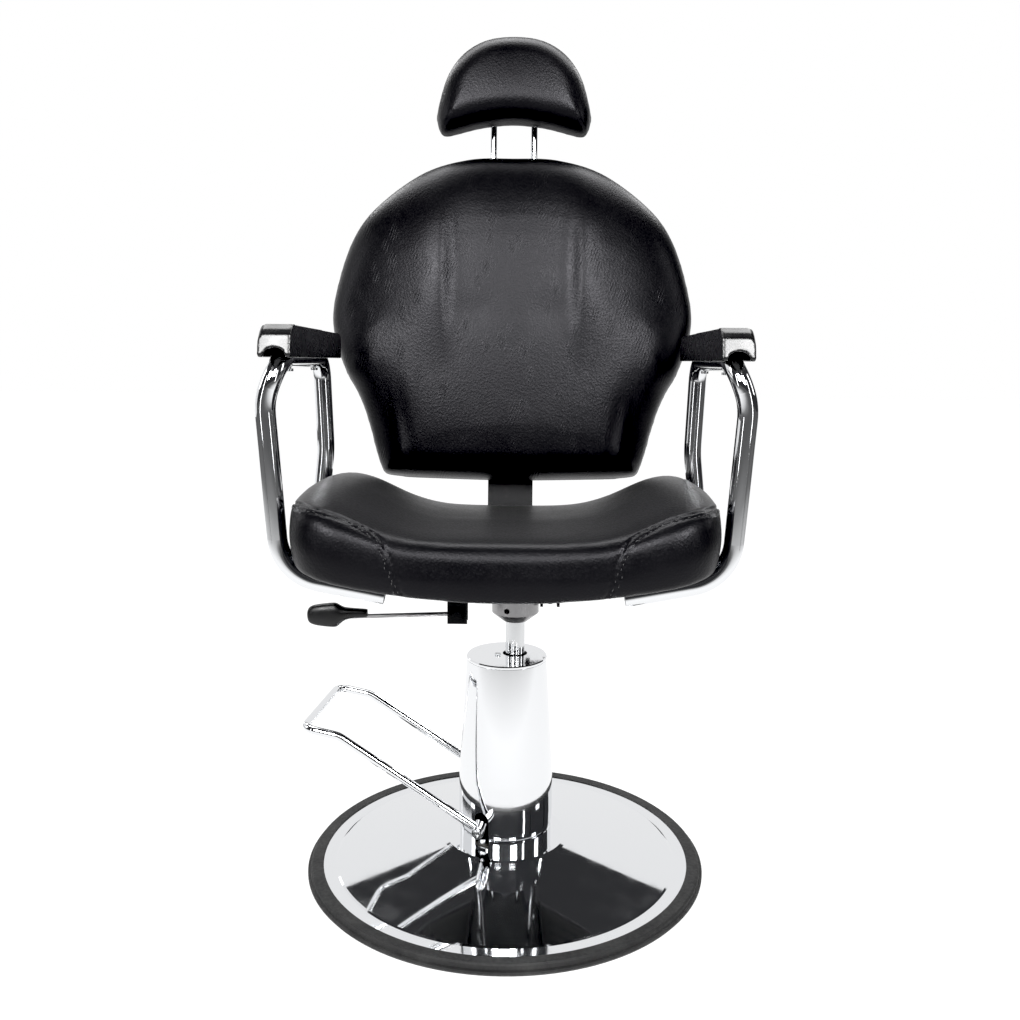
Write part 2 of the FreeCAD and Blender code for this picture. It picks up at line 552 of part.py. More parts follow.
def make_recline():
    """Hinge brackets, hinge pin, locking strut, its anchor and the pin that drives it."""
    cheeks = []
    for x in (38.5, -43.5):
        cheek = side_plate([(110, PLATE_BOTTOM), (168, PLATE_BOTTOM), (219, 452), (219, 430),
                            (212, 426), (198, 426), (120, 446)], x, x + 5)
        cheek = cheek.cut(rod(V(x - 1, HINGE.y, HINGE.z), V(x + 6, HINGE.y, HINGE.z), 6 + RUNNING))
        cheeks.append(cheek)
    save("hinge_cheeks", *cheeks)
    pin = rod(V(-48, HINGE.y, HINGE.z), V(48, HINGE.y, HINGE.z), 6)
    for x in (-50, 46):
        pin = pin.fuse(rod(V(x, HINGE.y, HINGE.z), V(x + 4, HINGE.y, HINGE.z), 9))
    save("hinge_pin", pin)
    body = rod(V(STRUT_X, 8, STRUT_Z), V(STRUT_X, 108, STRUT_Z), 10)
    body = body.cut(rod(V(STRUT_X, 12, STRUT_Z), V(STRUT_X, 109, STRUT_Z), 7.06))
    body = body.fuse(rod(V(STRUT_X, -8, STRUT_Z), V(STRUT_X, 8, STRUT_Z), 7))
    gland = rod(V(STRUT_X, 108, STRUT_Z), V(STRUT_X, 112, STRUT_Z), 10)
    body = body.fuse(gland).cut(rod(V(STRUT_X, 107, STRUT_Z), V(STRUT_X, 113, STRUT_Z),
                                    4 + RUNNING))
    body = body.cut(rod(V(STRUT_X - 12, 0, STRUT_Z), V(STRUT_X + 12, 0, STRUT_Z), 4.05))
    save("strut_cylinder", body)
    anchor = box(STRUT_X - 14, STRUT_X + 14, -12, 12, STRUT_Z - 10, PLATE_BOTTOM)
    anchor = anchor.cut(box(STRUT_X - 10, STRUT_X + 10, -13, 13, STRUT_Z - 11, STRUT_Z + 30))
    anchor = anchor.cut(rod(V(STRUT_X - 15, 0, STRUT_Z), V(STRUT_X + 15, 0, STRUT_Z), 4.05))
    save("strut_anchor", anchor)
    save("strut_anchor_pin", rod(V(STRUT_X - 15.5, 0, STRUT_Z), V(STRUT_X + 15.5, 0, STRUT_Z), 4))
    crank = crank_pin_place()
    shaft = rod(V(STRUT_X, 60, STRUT_Z), V(STRUT_X, crank.y - 8, STRUT_Z), 4)
    head = rod(V(STRUT_X, 56, STRUT_Z), V(STRUT_X, 62, STRUT_Z), 7)
    eye = rod(V(STRUT_X - 5, crank.y, crank.z), V(STRUT_X + 5, crank.y, crank.z), 10)
    eye = eye.fuse(shaft).fuse(head)
    eye = eye.cut(rod(V(STRUT_X - 6, crank.y, crank.z), V(STRUT_X + 6, crank.y, crank.z), 6.5))
    save("strut_rod", eye)


def make_lever():
    """Recline lever on the sitter's right: bracket, pivot, bent rod and paddle grip."""
    y = LEVER_Y
    bracket = box(LEVER_X - 14, LEVER_X + 14, y - 12, y + 12, LEVER_Z - 12, PLATE_BOTTOM)
    bracket = bracket.cut(box(LEVER_X - 15, LEVER_X + 15, y - 9, y + 9, LEVER_Z - 13, LEVER_Z + 20))
    bracket = bracket.cut(rod(V(LEVER_X, y - 13, LEVER_Z), V(LEVER_X, y + 13, LEVER_Z), 4 + RUNNING))
    save("lever_bracket", bracket)
    pivot = rod(V(LEVER_X, y - 15, LEVER_Z), V(LEVER_X, y + 15, LEVER_Z), 4)
    for end in (y - 16, y + 12.2):
        pivot = pivot.fuse(rod(V(LEVER_X, end, LEVER_Z), V(LEVER_X, end + 3.8, LEVER_Z), 7.5))
    hub = rod(V(LEVER_X, y - 8, LEVER_Z), V(LEVER_X, y + 8, LEVER_Z), 9)
    arm = rod(V(LEVER_X, y, LEVER_Z), V(-262, y, LEVER_Z - 8), LEVER_ROD_R).fuse(hub)
    arm = arm.cut(rod(V(LEVER_X, y - 9, LEVER_Z), V(LEVER_X, y + 9, LEVER_Z), 4 + RUNNING))
    save("lever_pivot", pivot)
    save("lever_rod", arm)
    save("lever_grip", lever_grip(arm, y))


def lever_grip(arm, y):
    """Paddle grip: a slim neck that swells to a rounded bulb hanging below the rod."""
    z = LEVER_Z - 5.5
    top = [V(-199, y, z + 6.5), V(-220, y, z + 5), V(-247, y, z + 13), V(-274, y, z + 11),
           V(-286, y, z - 6)]
    low = [V(-286, y, z - 6), V(-272, y, z - 24), V(-247, y, z - 23), V(-224, y, z - 12),
           V(-199, y, z - 10)]
    upper, lower = Part.BSplineCurve(), Part.BSplineCurve()
    upper.interpolate(top)
    lower.interpolate(low)
    neck = Part.makeLine(low[-1], top[0])
    face = Part.Face(Part.Wire([upper.toShape(), lower.toShape(), neck]))
    face.translate(V(0, -9, 0))
    return face.extrude(V(0, 18, 0)).cut(arm)


# ---- backrest and headrest ----------------------------------------------------------
BACK_TOP = 608.0
BACK_LOW = 115.0
BACK_FRONT = -83.0
BACK_REAR = -5.0
BACK_HALF = [(0, BACK_TOP), (69, BACK_TOP - 2), (135, 587), (201, 540), (242, 493), (271, 424),
             (282, 360), (264, 294), (238, 248), (222, 202), (211, 157), (197, 124), (0, BACK_LOW)]
HEAD_TOP_Z = 804.0
HEAD_LOW_Z = 682.0
HEAD_HALF = [(0, HEAD_TOP_Z), (58, 789), (93, 759), (111, 723), (117, 688), (110, 664),
             (0, HEAD_LOW_Z)]


def make_back():
    """Back cushion, plywood board, flat steel upright with its hinge ears, and screws."""
    cushion = outline_solid(BACK_HALF, BACK_FRONT, BACK_REAR, 12)
    save("back_cushion", leaned(cushion))
    board = outline_solid([(x * 0.94, z * 0.97 + 12) for x, z in BACK_HALF], BACK_REAR,
                          BACK_REAR + BOARD, 12)
    bar = up_box(-BAR_HALF, BAR_HALF, BACK_REAR + BOARD, BACK_REAR + BOARD + 8, -16, 560)
    ears = []
    crank = crank_pin_place()
    for x in (28.0, -35.0):
        arm = up_box(x, x + 7, -10, BACK_REAR + BOARD, -14, 66)
        ears.append(leaned(arm).fuse(rod(V(x, HINGE.y, HINGE.z), V(x + 7, HINGE.y, HINGE.z), 14)))
    toe = rod(V(28, crank.y, crank.z), V(35, crank.y, crank.z), 8)
    web = side_plate([(HINGE.y - 6, HINGE.z), (HINGE.y + 12, HINGE.z),
                      (crank.y + 7, crank.z), (crank.y - 7, crank.z)], 28, 35)
    ears[0] = ears[0].fuse(toe).fuse(web)
    ears[0] = ears[0].cut(rod(V(27, crank.y, crank.z), V(36, crank.y, crank.z), 4.03))
    ears = [ear.cut(rod(V(-60, HINGE.y, HINGE.z), V(60, HINGE.y, HINGE.z), 6 + RUNNING))
            .cut(leaned(bar)) for ear in ears]
    save("back_ears", *ears)
    save("crank_pin", rod(V(24, crank.y, crank.z), V(STRUT_X + 12, crank.y, crank.z), 4))
    screws = []
    for x in (-20, 20):
        for z in (180, 330, 430):
            hole = rod(up_back(x, BACK_REAR + 2, z), up_back(x, BACK_REAR + 22, z), 3.1)
            board, bar = board.cut(hole), bar.cut(hole)
            screw = rod(up_back(x, BACK_REAR + 20, z), up_back(x, BACK_REAR + 23.5, z), 6)
            screws.append(screw.fuse(rod(up_back(x, BACK_REAR + 3, z),
                                         up_back(x, BACK_REAR + 20, z), 3)))
    save("back_board", leaned(board))
    save("back_bar", leaned(bar))
    save("back_screws", *[leaned(screw) for screw in screws])


def make_headrest():
    """Guide block with its lock knob, two posts, head board, clamps and the cushion."""
    guide = up_box(-48, 48, BACK_REAR + BOARD + 8.1, 34, 480, 545)
    knob_z = 512
    posts, clamps = [], []
    for x in (-POST_X, POST_X):
        guide = guide.cut(rod(up_back(x, POST_Y, 470), up_back(x, POST_Y, 555), POST_R + RUNNING))
        posts.append(leaned(rod(up_back(x, POST_Y, 372), up_back(x, POST_Y, 752), POST_R)))
        clamp = up_box(x - 13, x + 13, 17.1, 33, 690, 722)
        clamp = clamp.cut(rod(up_back(x, POST_Y, 680), up_back(x, POST_Y, 730), POST_R + 0.03))
        clamps.append(leaned(clamp))
    guide = guide.cut(rod(up_back(0, 16, knob_z), up_back(0, 40, knob_z), 4.1))
    knob = rod(up_back(0, 34.3, knob_z), up_back(0, 40, knob_z), 8)
    knob = knob.fuse(rod(up_back(0, 40, knob_z), up_back(0, 56, knob_z), 17))
    knob = knob.fuse(rod(up_back(0, 18, knob_z), up_back(0, 40, knob_z), 4))
    save("headrest_guide", leaned(guide))
    save("headrest_knob", leaned(knob))
    save("headrest_posts", *posts)
    save("headrest_clamps", *clamps)
    cushion = outline_solid(HEAD_HALF, -52, 8, 6)
    board = outline_solid([(x * 0.88, (z - 730) * 0.88 + 730) for x, z in HEAD_HALF], 8, 17, 6)
    save("headrest_cushion", leaned(cushion))
    save("headrest_board", leaned(board))


def main():
    """Build every sub-part."""
    os.makedirs("parts", exist_ok=True)
    make_base()
    make_pump()
    make_column()
    make_ram()
    make_pedal()
    make_seat()
    make_arms()
    make_recline()
    make_lever()
    make_back()
    make_headrest()


main()
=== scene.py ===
"""Hydraulic barber chair: the looks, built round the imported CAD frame.

All sizes are in metres. The backrest and headrest are described upright, as offsets from
the recline hinge, and leaned_point() turns them back to where the frame holds them.
"""
import json
import math

import bmesh
import bpy
import numpy as np
from mathutils import Euler, Matrix, Vector, kdtree
from mathutils.bvhtree import BVHTree


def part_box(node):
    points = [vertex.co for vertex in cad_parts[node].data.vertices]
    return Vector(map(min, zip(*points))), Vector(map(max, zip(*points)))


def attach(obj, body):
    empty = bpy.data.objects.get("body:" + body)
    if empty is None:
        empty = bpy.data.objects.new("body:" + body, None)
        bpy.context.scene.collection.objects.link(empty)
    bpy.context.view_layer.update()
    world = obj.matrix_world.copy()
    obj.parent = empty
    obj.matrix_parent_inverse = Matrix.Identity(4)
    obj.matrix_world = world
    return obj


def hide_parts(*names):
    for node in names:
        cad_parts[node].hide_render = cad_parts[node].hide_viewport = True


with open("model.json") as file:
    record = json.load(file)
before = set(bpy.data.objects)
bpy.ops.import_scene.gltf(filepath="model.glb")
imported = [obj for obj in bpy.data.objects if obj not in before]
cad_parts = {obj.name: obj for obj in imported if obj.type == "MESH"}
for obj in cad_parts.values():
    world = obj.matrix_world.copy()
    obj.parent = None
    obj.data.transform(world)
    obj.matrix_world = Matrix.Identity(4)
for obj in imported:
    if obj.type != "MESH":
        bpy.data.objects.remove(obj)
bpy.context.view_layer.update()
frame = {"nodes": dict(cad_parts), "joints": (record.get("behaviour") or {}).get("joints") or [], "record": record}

NODES = frame["nodes"]
JOINTS = {joint["name"]: joint for joint in frame["joints"]}

# ---- places read from the frame --------------------------------------------------------
HINGE = Vector(JOINTS["back_recline"]["pos_m"])
UP = Vector(JOINTS["headrest_height"]["axis"]).normalized()      # up along the leaned back
REARWARD = Vector((0, UP.z, -UP.y))
SEAT_LOW, SEAT_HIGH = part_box("seat_cushion")
TUBE_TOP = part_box("arm_tube_right")[1].z
GRIP_LOW, GRIP_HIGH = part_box("lever_grip")
TUBE_R = 0.0125

# ---- driving sizes of the soft parts ---------------------------------------------------
SEAT_HALF = SEAT_HIGH.x - 0.001
SEAT_FRONT = SEAT_LOW.y
SEAT_REAR = SEAT_HIGH.y
SEAT_SAG_R = 1.0               # the boat-shaped underside's radius
SEAT_LOW_EDGE = 0.008          # radius of its lower edge
SEAT_STATIONS = [-0.280, -0.060, 0.195]      # places along Y where the top is given
SEAT_DISH = [0.546, 0.534, 0.514]            # height of the top's middle at each
SEAT_CREST = [0.583, 0.591, 0.558]           # height of its side crests at each

# the right corner panel's seam, from under the front edge, up and over, then along the side
SEAT_SEAM = [(0.124, -0.268, 0.482), (0.127, -0.276, 0.500), (0.131, -0.273, 0.520),
             (0.136, -0.268, 0.533), (0.144, -0.260, 0.543), (0.156, -0.253, 0.553),
             (0.175, -0.249, 0.563), (0.195, -0.247, 0.572), (0.215, -0.247, 0.579),
             (0.232, -0.243, 0.583), (0.250, -0.225, 0.586), (0.264, -0.190, 0.583),
             (0.266, -0.120, 0.582), (0.263, 0.000, 0.578), (0.258, 0.100, 0.566),
             (0.254, 0.150, 0.556)]
BACK_DEPTH = 0.078             # from the board to the cushion's front, without its crown
BACK_REAR = 0.005              # the cushion's rear face stands this far before the hinge
BACK_HALF = [(0, 0.620), (0.069, 0.618), (0.141, 0.597), (0.211, 0.548), (0.251, 0.498),
             (0.276, 0.428), (0.286, 0.361), (0.268, 0.293), (0.243, 0.246), (0.226, 0.201),
             (0.214, 0.156), (0.206, 0.131), (0.191, 0.118), (0.090, 0.114), (0, 0.113)]
BACK_DROP = 0.058              # how far the face has fallen at its edge
HEAD_FRONT = 0.052
HEAD_REAR = -0.008
HEAD_HALF = [(0, 0.814), (0.045, 0.808), (0.080, 0.788), (0.104, 0.757), (0.117, 0.719),
             (0.1225, 0.690), (0.1175, 0.668), (0.106, 0.662), (0.052, 0.675), (0, 0.680)]
HEAD_ROLL = 0.036              # radius of the headrest's front edge
PANEL_EDGE = 0.002             # roll of the thin covered panels' edges
PANEL_GAP = 0.0003             # between a cushion and the panel behind it
BACK_PANEL_REAR = -0.0068      # rear faces of those panels, before the hinge
HEAD_PANEL_REAR = -0.0168
HELD_REAR = 0.010              # how much of a cushion's rear is held still while it swells
RAIL_FRONT = -0.222            # the armrest's top run starts here and falls towards the rear
RAIL_FALL = math.radians(2.6)


# ---- small helpers ---------------------------------------------------------------------
def leaned_point(x, rear, height):
    """Point of the backrest from its upright offsets: across, behind the hinge, above it."""
    return HINGE + Vector((x, 0, 0)) + REARWARD * rear + UP * height


def leaned_place(u, v, w):
    """Point of a pad that stands on the leaned back: across, up and forward."""
    return leaned_point(u, -w, v)


def upright_place(u, v, w):
    """Point of a pad that lies level: across, rearward and up."""
    return Vector((u, v, w))


def constant(value):
    """Function that gives one value for every point it is asked about."""
    return lambda points, *_: np.full(len(points), value)


def behind(rear):
    """Test for the points further back than a plane of the leaned backrest."""
    still = np.array(HINGE + REARWARD * rear)
    return lambda points: (points - still) @ np.array(REARWARD) > 0


def smoothstep(t):
    """Smooth ramp from 0 to 1."""
    t = np.clip(t, 0, 1)
    return t * t * (3 - 2 * t)


def closed_curve(points, count):
    """Evenly spaced points on a smooth closed curve through the given ones."""
    p = np.array(points, float)
    before, after, further = np.roll(p, 1, 0), np.roll(p, -1, 0), np.roll(p, -2, 0)
    t = np.linspace(0, 1, 24, endpoint=False)[:, None, None]
    curve = 0.5 * (2 * p + (after - before) * t
                   + (2 * before - 5 * p + 4 * after - further) * t ** 2
                   + (3 * p - before - 3 * after + further) * t ** 3)
    return evenly(curve.transpose(1, 0, 2).reshape(-1, 2), count)


def evenly(points, count):
    """Resample a closed polyline to evenly spaced points."""
    loop = np.vstack([points, points[:1]])
    length = np.concatenate([[0], np.cumsum(np.linalg.norm(np.diff(loop, axis=0), axis=1))])
    at = np.linspace(0, length[-1], count, endpoint=False)
    return np.stack([np.interp(at, length, loop[:, i]) for i in range(loop.shape[1])], 1)


def both_halves(half):
    """Whole outline from its right half, which runs from the top middle to the bottom middle."""
    return list(half) + [(-x, z) for x, z in reversed(half[1:-1])]


def new_object(name, vertices, faces):
    """Mesh object from points and faces, shaded smooth."""
    mesh = bpy.data.meshes.new(name)
    mesh.from_pydata([tuple(v) for v in vertices], [], faces)
    mesh.polygons.foreach_set("use_smooth", [True] * len(mesh.polygons))
    mesh.update()
    piece = bpy.data.objects.new(name, mesh)
    bpy.context.scene.collection.objects.link(piece)
    return piece


def coordinates(piece):
    """The vertices of a mesh as an array."""
    found = np.empty(len(piece.data.vertices) * 3)
    piece.data.vertices.foreach_get("co", found)
    return found.reshape(-1, 3)


def set_coordinates(piece, points):
    """Write the vertices back."""
    piece.data.vertices.foreach_set("co", np.ascontiguousarray(points).ravel())
    piece.data.update()


def normals(piece):
    """The vertex normals of a mesh as an array."""
    found = np.empty(len(piece.data.vertices) * 3)
    piece.data.vertex_normals.foreach_get("vector", found)
    return found.reshape(-1, 3)


def apply_modifiers(piece):
    """Replace the mesh by what its modifiers make of it."""
    graph = bpy.context.evaluated_depsgraph_get()
    made = bpy.data.meshes.new_from_object(piece.evaluated_get(graph))
    piece.modifiers.clear()
    piece.data = made
    made.polygons.foreach_set("use_smooth", [True] * len(made.polygons))


def remeshed(piece, voxel):
    """Even quads of one size all over a closed piece."""
    modifier = piece.modifiers.new("even", "REMESH")
    modifier.mode = "VOXEL"
    modifier.voxel_size = voxel
    modifier.use_smooth_shade = True
    apply_modifiers(piece)


def relaxed(piece, rounds):
    """Take the voxel steps out of a remeshed piece."""
    modifier = piece.modifiers.new("relax", "SMOOTH")
    modifier.factor = 0.5
    modifier.iterations = rounds
    apply_modifiers(piece)


def subdivided(piece, levels=1):
    """Finer, smoother mesh."""
    modifier = piece.modifiers.new("finer", "SUBSURF")
    modifier.levels = modifier.render_levels = levels
    apply_modifiers(piece)


# ---- padded shapes ---------------------------------------------------------------------
def pad(name, outline, top, bottom, roll, place, low, swell, drop=None, fullness=2.0):
    """Closed pad over an outline: a rolled upper edge, a swelling side and a small lower edge.

    top, bottom and roll are functions of points in the outline's plane. place turns the
    outline's two coordinates and the height above its plane into a point of the frame.
    The roll is a quarter circle unless drop, its fall at the edge, is given by itself. low is
    the lower edge's radius, and swell is how far the side stands out at half its height.
    """
    centre = outline.mean(0)
    ahead = np.roll(outline, -1, 0) - np.roll(outline, 1, 0)
    outward = np.stack([ahead[:, 1], -ahead[:, 0]], 1)
    outward /= np.linalg.norm(outward, axis=1)[:, None]
    if ((outline - centre) * outward).sum() < 0:
        outward = -outward
    rings = []
    inner = list(np.linspace(0.04, 0.5, 12, endpoint=False))
    outer = [1 - 0.5 * (1 - math.sin(a)) for a in np.linspace(0, math.pi / 2, 32)]
    for share in inner + outer:
        flat = centre + (outline - centre) * share
        away = np.linalg.norm(flat[:, None] - outline[None], axis=2)
        nearest = away.argmin(1)
        width = roll(outline[nearest], outward[nearest])
        inset = 1 - np.clip(away.min(1) / width, 0, 1)
        fall = width if drop is None else drop
        rings.append((flat, top(flat) - fall * (1 - np.sqrt(1 - inset ** fullness))))
    shoulder = rings[-1][1]
    foot = bottom(outline) + low
    for t in np.linspace(0, 1, 9)[1:]:
        rings.append((outline + outward * swell * math.sin(math.pi * t),
                      shoulder + (foot - shoulder) * t))
    for angle in np.radians([22, 45, 67, 90]):
        flat = outline - outward * low * (1 - math.cos(angle))
        rings.append((flat, bottom(flat) + low * (1 - math.sin(angle))))
    tucked = outline - outward * low
    for share in np.linspace(0.92, 0.04, 10):
        flat = centre + (tucked - centre) * share
        rings.append((flat, bottom(flat)))
    vertices = [place(u, v, w) for flat, level in rings for (u, v), w in zip(flat, level)]
    count = len(outline)
    faces = []
    for ring in range(len(rings) - 1):
        for i in range(count):
            j = (i + 1) % count
            a, b = ring * count, (ring + 1) * count
            faces.append((a + i, a + j, b + j, b + i))
    for start in (0, (len(rings) - 1) * count):
        faces.append(tuple(range(start, start + count)))
    piece = new_object(name, vertices, faces)
    tidy = bmesh.new()
    tidy.from_mesh(piece.data)
    bmesh.ops.triangulate(tidy, faces=[f for f in tidy.faces if len(f.verts) > 4])
    bmesh.ops.recalc_face_normals(tidy, faces=tidy.faces)
    tidy.to_mesh(piece.data)
    tidy.free()
    return piece


CLOTH_FRAMES = 20
CLOTH_STIFFNESS = 12           # against stretching and squeezing
CLOTH_SHEAR = 6
CLOTH_BENDING = 15
PUFF_LIMIT = 0.005             # the most that a cover may swell


def puffed(piece, pinned, pressure, even):
    """Blow the cover up as cloth over foam, hold the pinned points, then even out the swelling."""
    rest = coordinates(piece)
    group = piece.vertex_groups.new(name="held")
    group.add([int(i) for i in np.nonzero(pinned(rest))[0]], 1.0, "REPLACE")
    cloth = piece.modifiers.new("cover", "CLOTH")
    settings = cloth.settings
    settings.quality = 4
    settings.mass = 0.35
    settings.tension_stiffness = settings.compression_stiffness = CLOTH_STIFFNESS
    settings.shear_stiffness = CLOTH_SHEAR
    settings.bending_stiffness = CLOTH_BENDING
    settings.use_pressure = True
    settings.uniform_pressure_force = pressure
    settings.vertex_group_mass = "held"
    settings.effector_weights.gravity = 0
    cloth.point_cache.frame_start = 1
    cloth.point_cache.frame_end = CLOTH_FRAMES
    scene = bpy.context.scene
    for number in range(1, CLOTH_FRAMES + 1):
        scene.frame_set(number)
    graph = bpy.context.evaluated_depsgraph_get()
    blown = piece.evaluated_get(graph).to_mesh()
    found = np.empty(len(blown.vertices) * 3)
    blown.vertices.foreach_get("co", found)
    moved = found.reshape(-1, 3) - rest
    length = np.maximum(np.linalg.norm(moved, axis=1)[:, None], 1e-9)
    moved *= PUFF_LIMIT * np.tanh(length / PUFF_LIMIT) / length
    piece.evaluated_get(graph).to_mesh_clear()
    edges = np.empty(len(piece.data.edges) * 2, dtype=int)
    piece.data.edges.foreach_get("vertices", edges)
    starts, ends = edges.reshape(-1, 2).T
    shared = np.bincount(edges, minlength=len(moved))[:, None]
    for _ in range(even):
        total = np.zeros_like(moved)
        np.add.at(total, starts, moved[ends])
        np.add.at(total, ends, moved[starts])
        moved = (moved + total / shared) / 2
    piece.modifiers.clear()
    scene.frame_set(1)
    set_coordinates(piece, rest + moved)


def upholstered(piece, voxel, pinned, pressure, ease=4, even=10):
    """The whole upholstery pass on a plain pad: even mesh, cloth, finer mesh."""
    remeshed(piece, voxel)
    relaxed(piece, ease)
    puffed(piece, pinned, pressure, even)
    relaxed(piece, 3)
    subdivided(piece)


def displaced(piece, amount):
    """Move the surface along its normals by a function of its points."""
    points = coordinates(piece)
    set_coordinates(piece, points + normals(piece) * amount(points)[:, None])


# ---- seams and stitching ---------------------------------------------------------------
STITCH_LENGTH = 0.0034
STITCH_GAP = 0.0016
THREAD_R = 0.00045


def open_curve(points, step):
    """Evenly spaced points on a smooth open curve through the given ones."""
    p = np.array(points, float)
    p = np.vstack([2 * p[0] - p[1], p, 2 * p[-1] - p[-2]])
    pieces = []
    for a, b, c, d in zip(p, p[1:], p[2:], p[3:]):
        t = np.linspace(0, 1, 16, endpoint=False)[:, None]
        pieces.append(0.5 * (2 * b + (c - a) * t + (2 * a - 5 * b + 4 * c - d) * t ** 2
                             + (3 * b - a - 3 * c + d) * t ** 3))
    line = np.vstack(pieces + [p[-2:-1]])
    length = np.concatenate([[0], np.cumsum(np.linalg.norm(np.diff(line, axis=0), axis=1))])
    at = np.linspace(0, length[-1], max(2, int(length[-1] / step)))
    return np.stack([np.interp(at, length, line[:, i]) for i in range(3)], 1)


def laid_on(piece, line, offset=0.0):
    """A line pressed onto the nearest surface, moved sideways along it by offset."""
    tree = BVHTree.FromObject(piece, bpy.context.evaluated_depsgraph_get())
    laid = []
    for i, point in enumerate(line):
        along = Vector(line[min(i + 1, len(line) - 1)] - line[max(i - 1, 0)]).normalized()
        spot, normal, _, _ = tree.find_nearest(Vector(point))
        if offset:
            spot, normal, _, _ = tree.find_nearest(spot + along.cross(normal) * offset)
        laid.append((spot, normal, along))
    return laid


def pressed(piece, line, width, depth, fades=False):
    """Press a soft groove (or raise a ridge, with a negative depth) along a line."""
    tree = kdtree.KDTree(len(line))
    for i, (spot, _, _) in enumerate(line):
        tree.insert(spot, i)
    tree.balance()
    points = coordinates(piece)
    low = np.array([min(s[0][k] for s in line) for k in range(3)]) - width
    high = np.array([max(s[0][k] for s in line) for k in range(3)]) + width
    near = np.nonzero(((points > low) & (points < high)).all(1))[0]
    out = normals(piece)
    for i in near:
        _, index, away = tree.find(points[i])
        if away < width:
            share = (1 - (away / width) ** 2) ** 2
            if fades:
                share *= float(smoothstep((1 - index / len(line)) * 2.0))
            points[i] -= out[i] * depth * share
    set_coordinates(piece, points)


def stitching(name, lines):
    """Rows of thread stitches, each a small capsule lying in the surface."""
    shape = bmesh.new()
    bmesh.ops.create_icosphere(shape, subdivisions=2, radius=1.0)
    base = np.array([v.co for v in shape.verts])
    tris = [tuple(v.index for v in f.verts) for f in shape.faces]
    shape.free()
    base = np.sign(base) * np.abs(base) ** 0.8
    vertices, faces = [], []
    for line in lines:
        travelled, due = 0.0, 0.0
        for (spot, normal, along), (after, _, _) in zip(line, line[1:]):
            travelled += (after - spot).length
            if travelled < due:
                continue
            due = travelled + STITCH_LENGTH + STITCH_GAP
            side = along.cross(normal).normalized()
            up = side.cross(along).normalized()
            first = len(vertices)
            for x, y, z in base:
                vertices.append(spot + along * (x * STITCH_LENGTH / 2) + side * (y * THREAD_R)
                                + up * (z * THREAD_R + THREAD_R * 0.25))
            faces.extend([tuple(first + i for i in tri) for tri in tris])
    return new_object(name, vertices, faces)


# ---- materials -------------------------------------------------------------------------
class Finish:
    """One procedural material under construction."""

    def __init__(self, name, colour, roughness, metallic=0.0, **sockets):
        self.material = bpy.data.materials.new(name)
        self.material.use_nodes = True
        self.nodes = self.material.node_tree.nodes
        self.links = self.material.node_tree.links
        self.shader = self.nodes["Principled BSDF"]
        self.shader.inputs["Base Color"].default_value = (*colour, 1)
        self.shader.inputs["Roughness"].default_value = roughness
        self.shader.inputs["Metallic"].default_value = metallic
        for socket, value in sockets.items():
            self.shader.inputs[socket.replace("_", " ")].default_value = value
        self.place = self.nodes.new("ShaderNodeTexCoord").outputs["Object"]
        self.height = None

    def mapped(self, scale=(1, 1, 1), turn=(0, 0, 0)):
        """The object's own coordinates, turned and stretched."""
        node = self.nodes.new("ShaderNodeMapping")
        node.inputs["Scale"].default_value = scale
        node.inputs["Rotation"].default_value = [math.radians(a) for a in turn]
        self.links.new(self.place, node.inputs["Vector"])
        return node.outputs["Vector"]

    def noise(self, scale, detail=3.0, rough=0.55, vector=None):
        """Cloudy noise from 0 to 1."""
        node = self.nodes.new("ShaderNodeTexNoise")
        node.inputs["Scale"].default_value = scale
        node.inputs["Detail"].default_value = detail
        node.inputs["Roughness"].default_value = rough
        self.links.new(vector or self.place, node.inputs["Vector"])
        return node.outputs["Fac"]

    def cells(self, scale, vector=None):
        """Cell pattern: distance to the nearest of many scattered points."""
        node = self.nodes.new("ShaderNodeTexVoronoi")
        node.inputs["Scale"].default_value = scale
        self.links.new(vector or self.place, node.inputs["Vector"])
        return node.outputs["Distance"]

    def ramp(self, value, low, high, out_low=0.0, out_high=1.0):
        """Stretch a value from one range to another, held at the ends."""
        node = self.nodes.new("ShaderNodeMapRange")
        self.links.new(value, node.inputs["Value"])
        node.inputs["From Min"].default_value = low
        node.inputs["From Max"].default_value = high
        node.inputs["To Min"].default_value = out_low
        node.inputs["To Max"].default_value = out_high
        return node.outputs["Result"]

    def combine(self, kind, a, b):
        """Arithmetic on two values, each a socket or a number."""
        node = self.nodes.new("ShaderNodeMath")
        node.operation = kind
        for value, socket in zip((a, b), node.inputs):
            if isinstance(value, (int, float)):
                socket.default_value = value
            else:
                self.links.new(value, socket)
        return node.outputs[0]

    def colours(self, value, first, second):
        """Base colour that runs between two colours."""
        node = self.nodes.new("ShaderNodeMix")
        node.data_type = "RGBA"
        self.links.new(value, node.inputs["Factor"])
        node.inputs[6].default_value = (*first, 1)
        node.inputs[7].default_value = (*second, 1)
        self.links.new(node.outputs[2], self.shader.inputs["Base Color"])

    def rough(self, value):
        """Drive the roughness."""
        self.links.new(value, self.shader.inputs["Roughness"])

    def bump(self, height, distance, strength=1.0):
        """Relief, stacked on what is there already."""
        node = self.nodes.new("ShaderNodeBump")
        node.inputs["Distance"].default_value = distance
        node.inputs["Strength"].default_value = strength
        self.links.new(height, node.inputs["Height"])
        if self.height is not None:
            self.links.new(self.height, node.inputs["Normal"])
        self.height = node.outputs["Normal"]
        self.links.new(self.height, self.shader.inputs["Normal"])


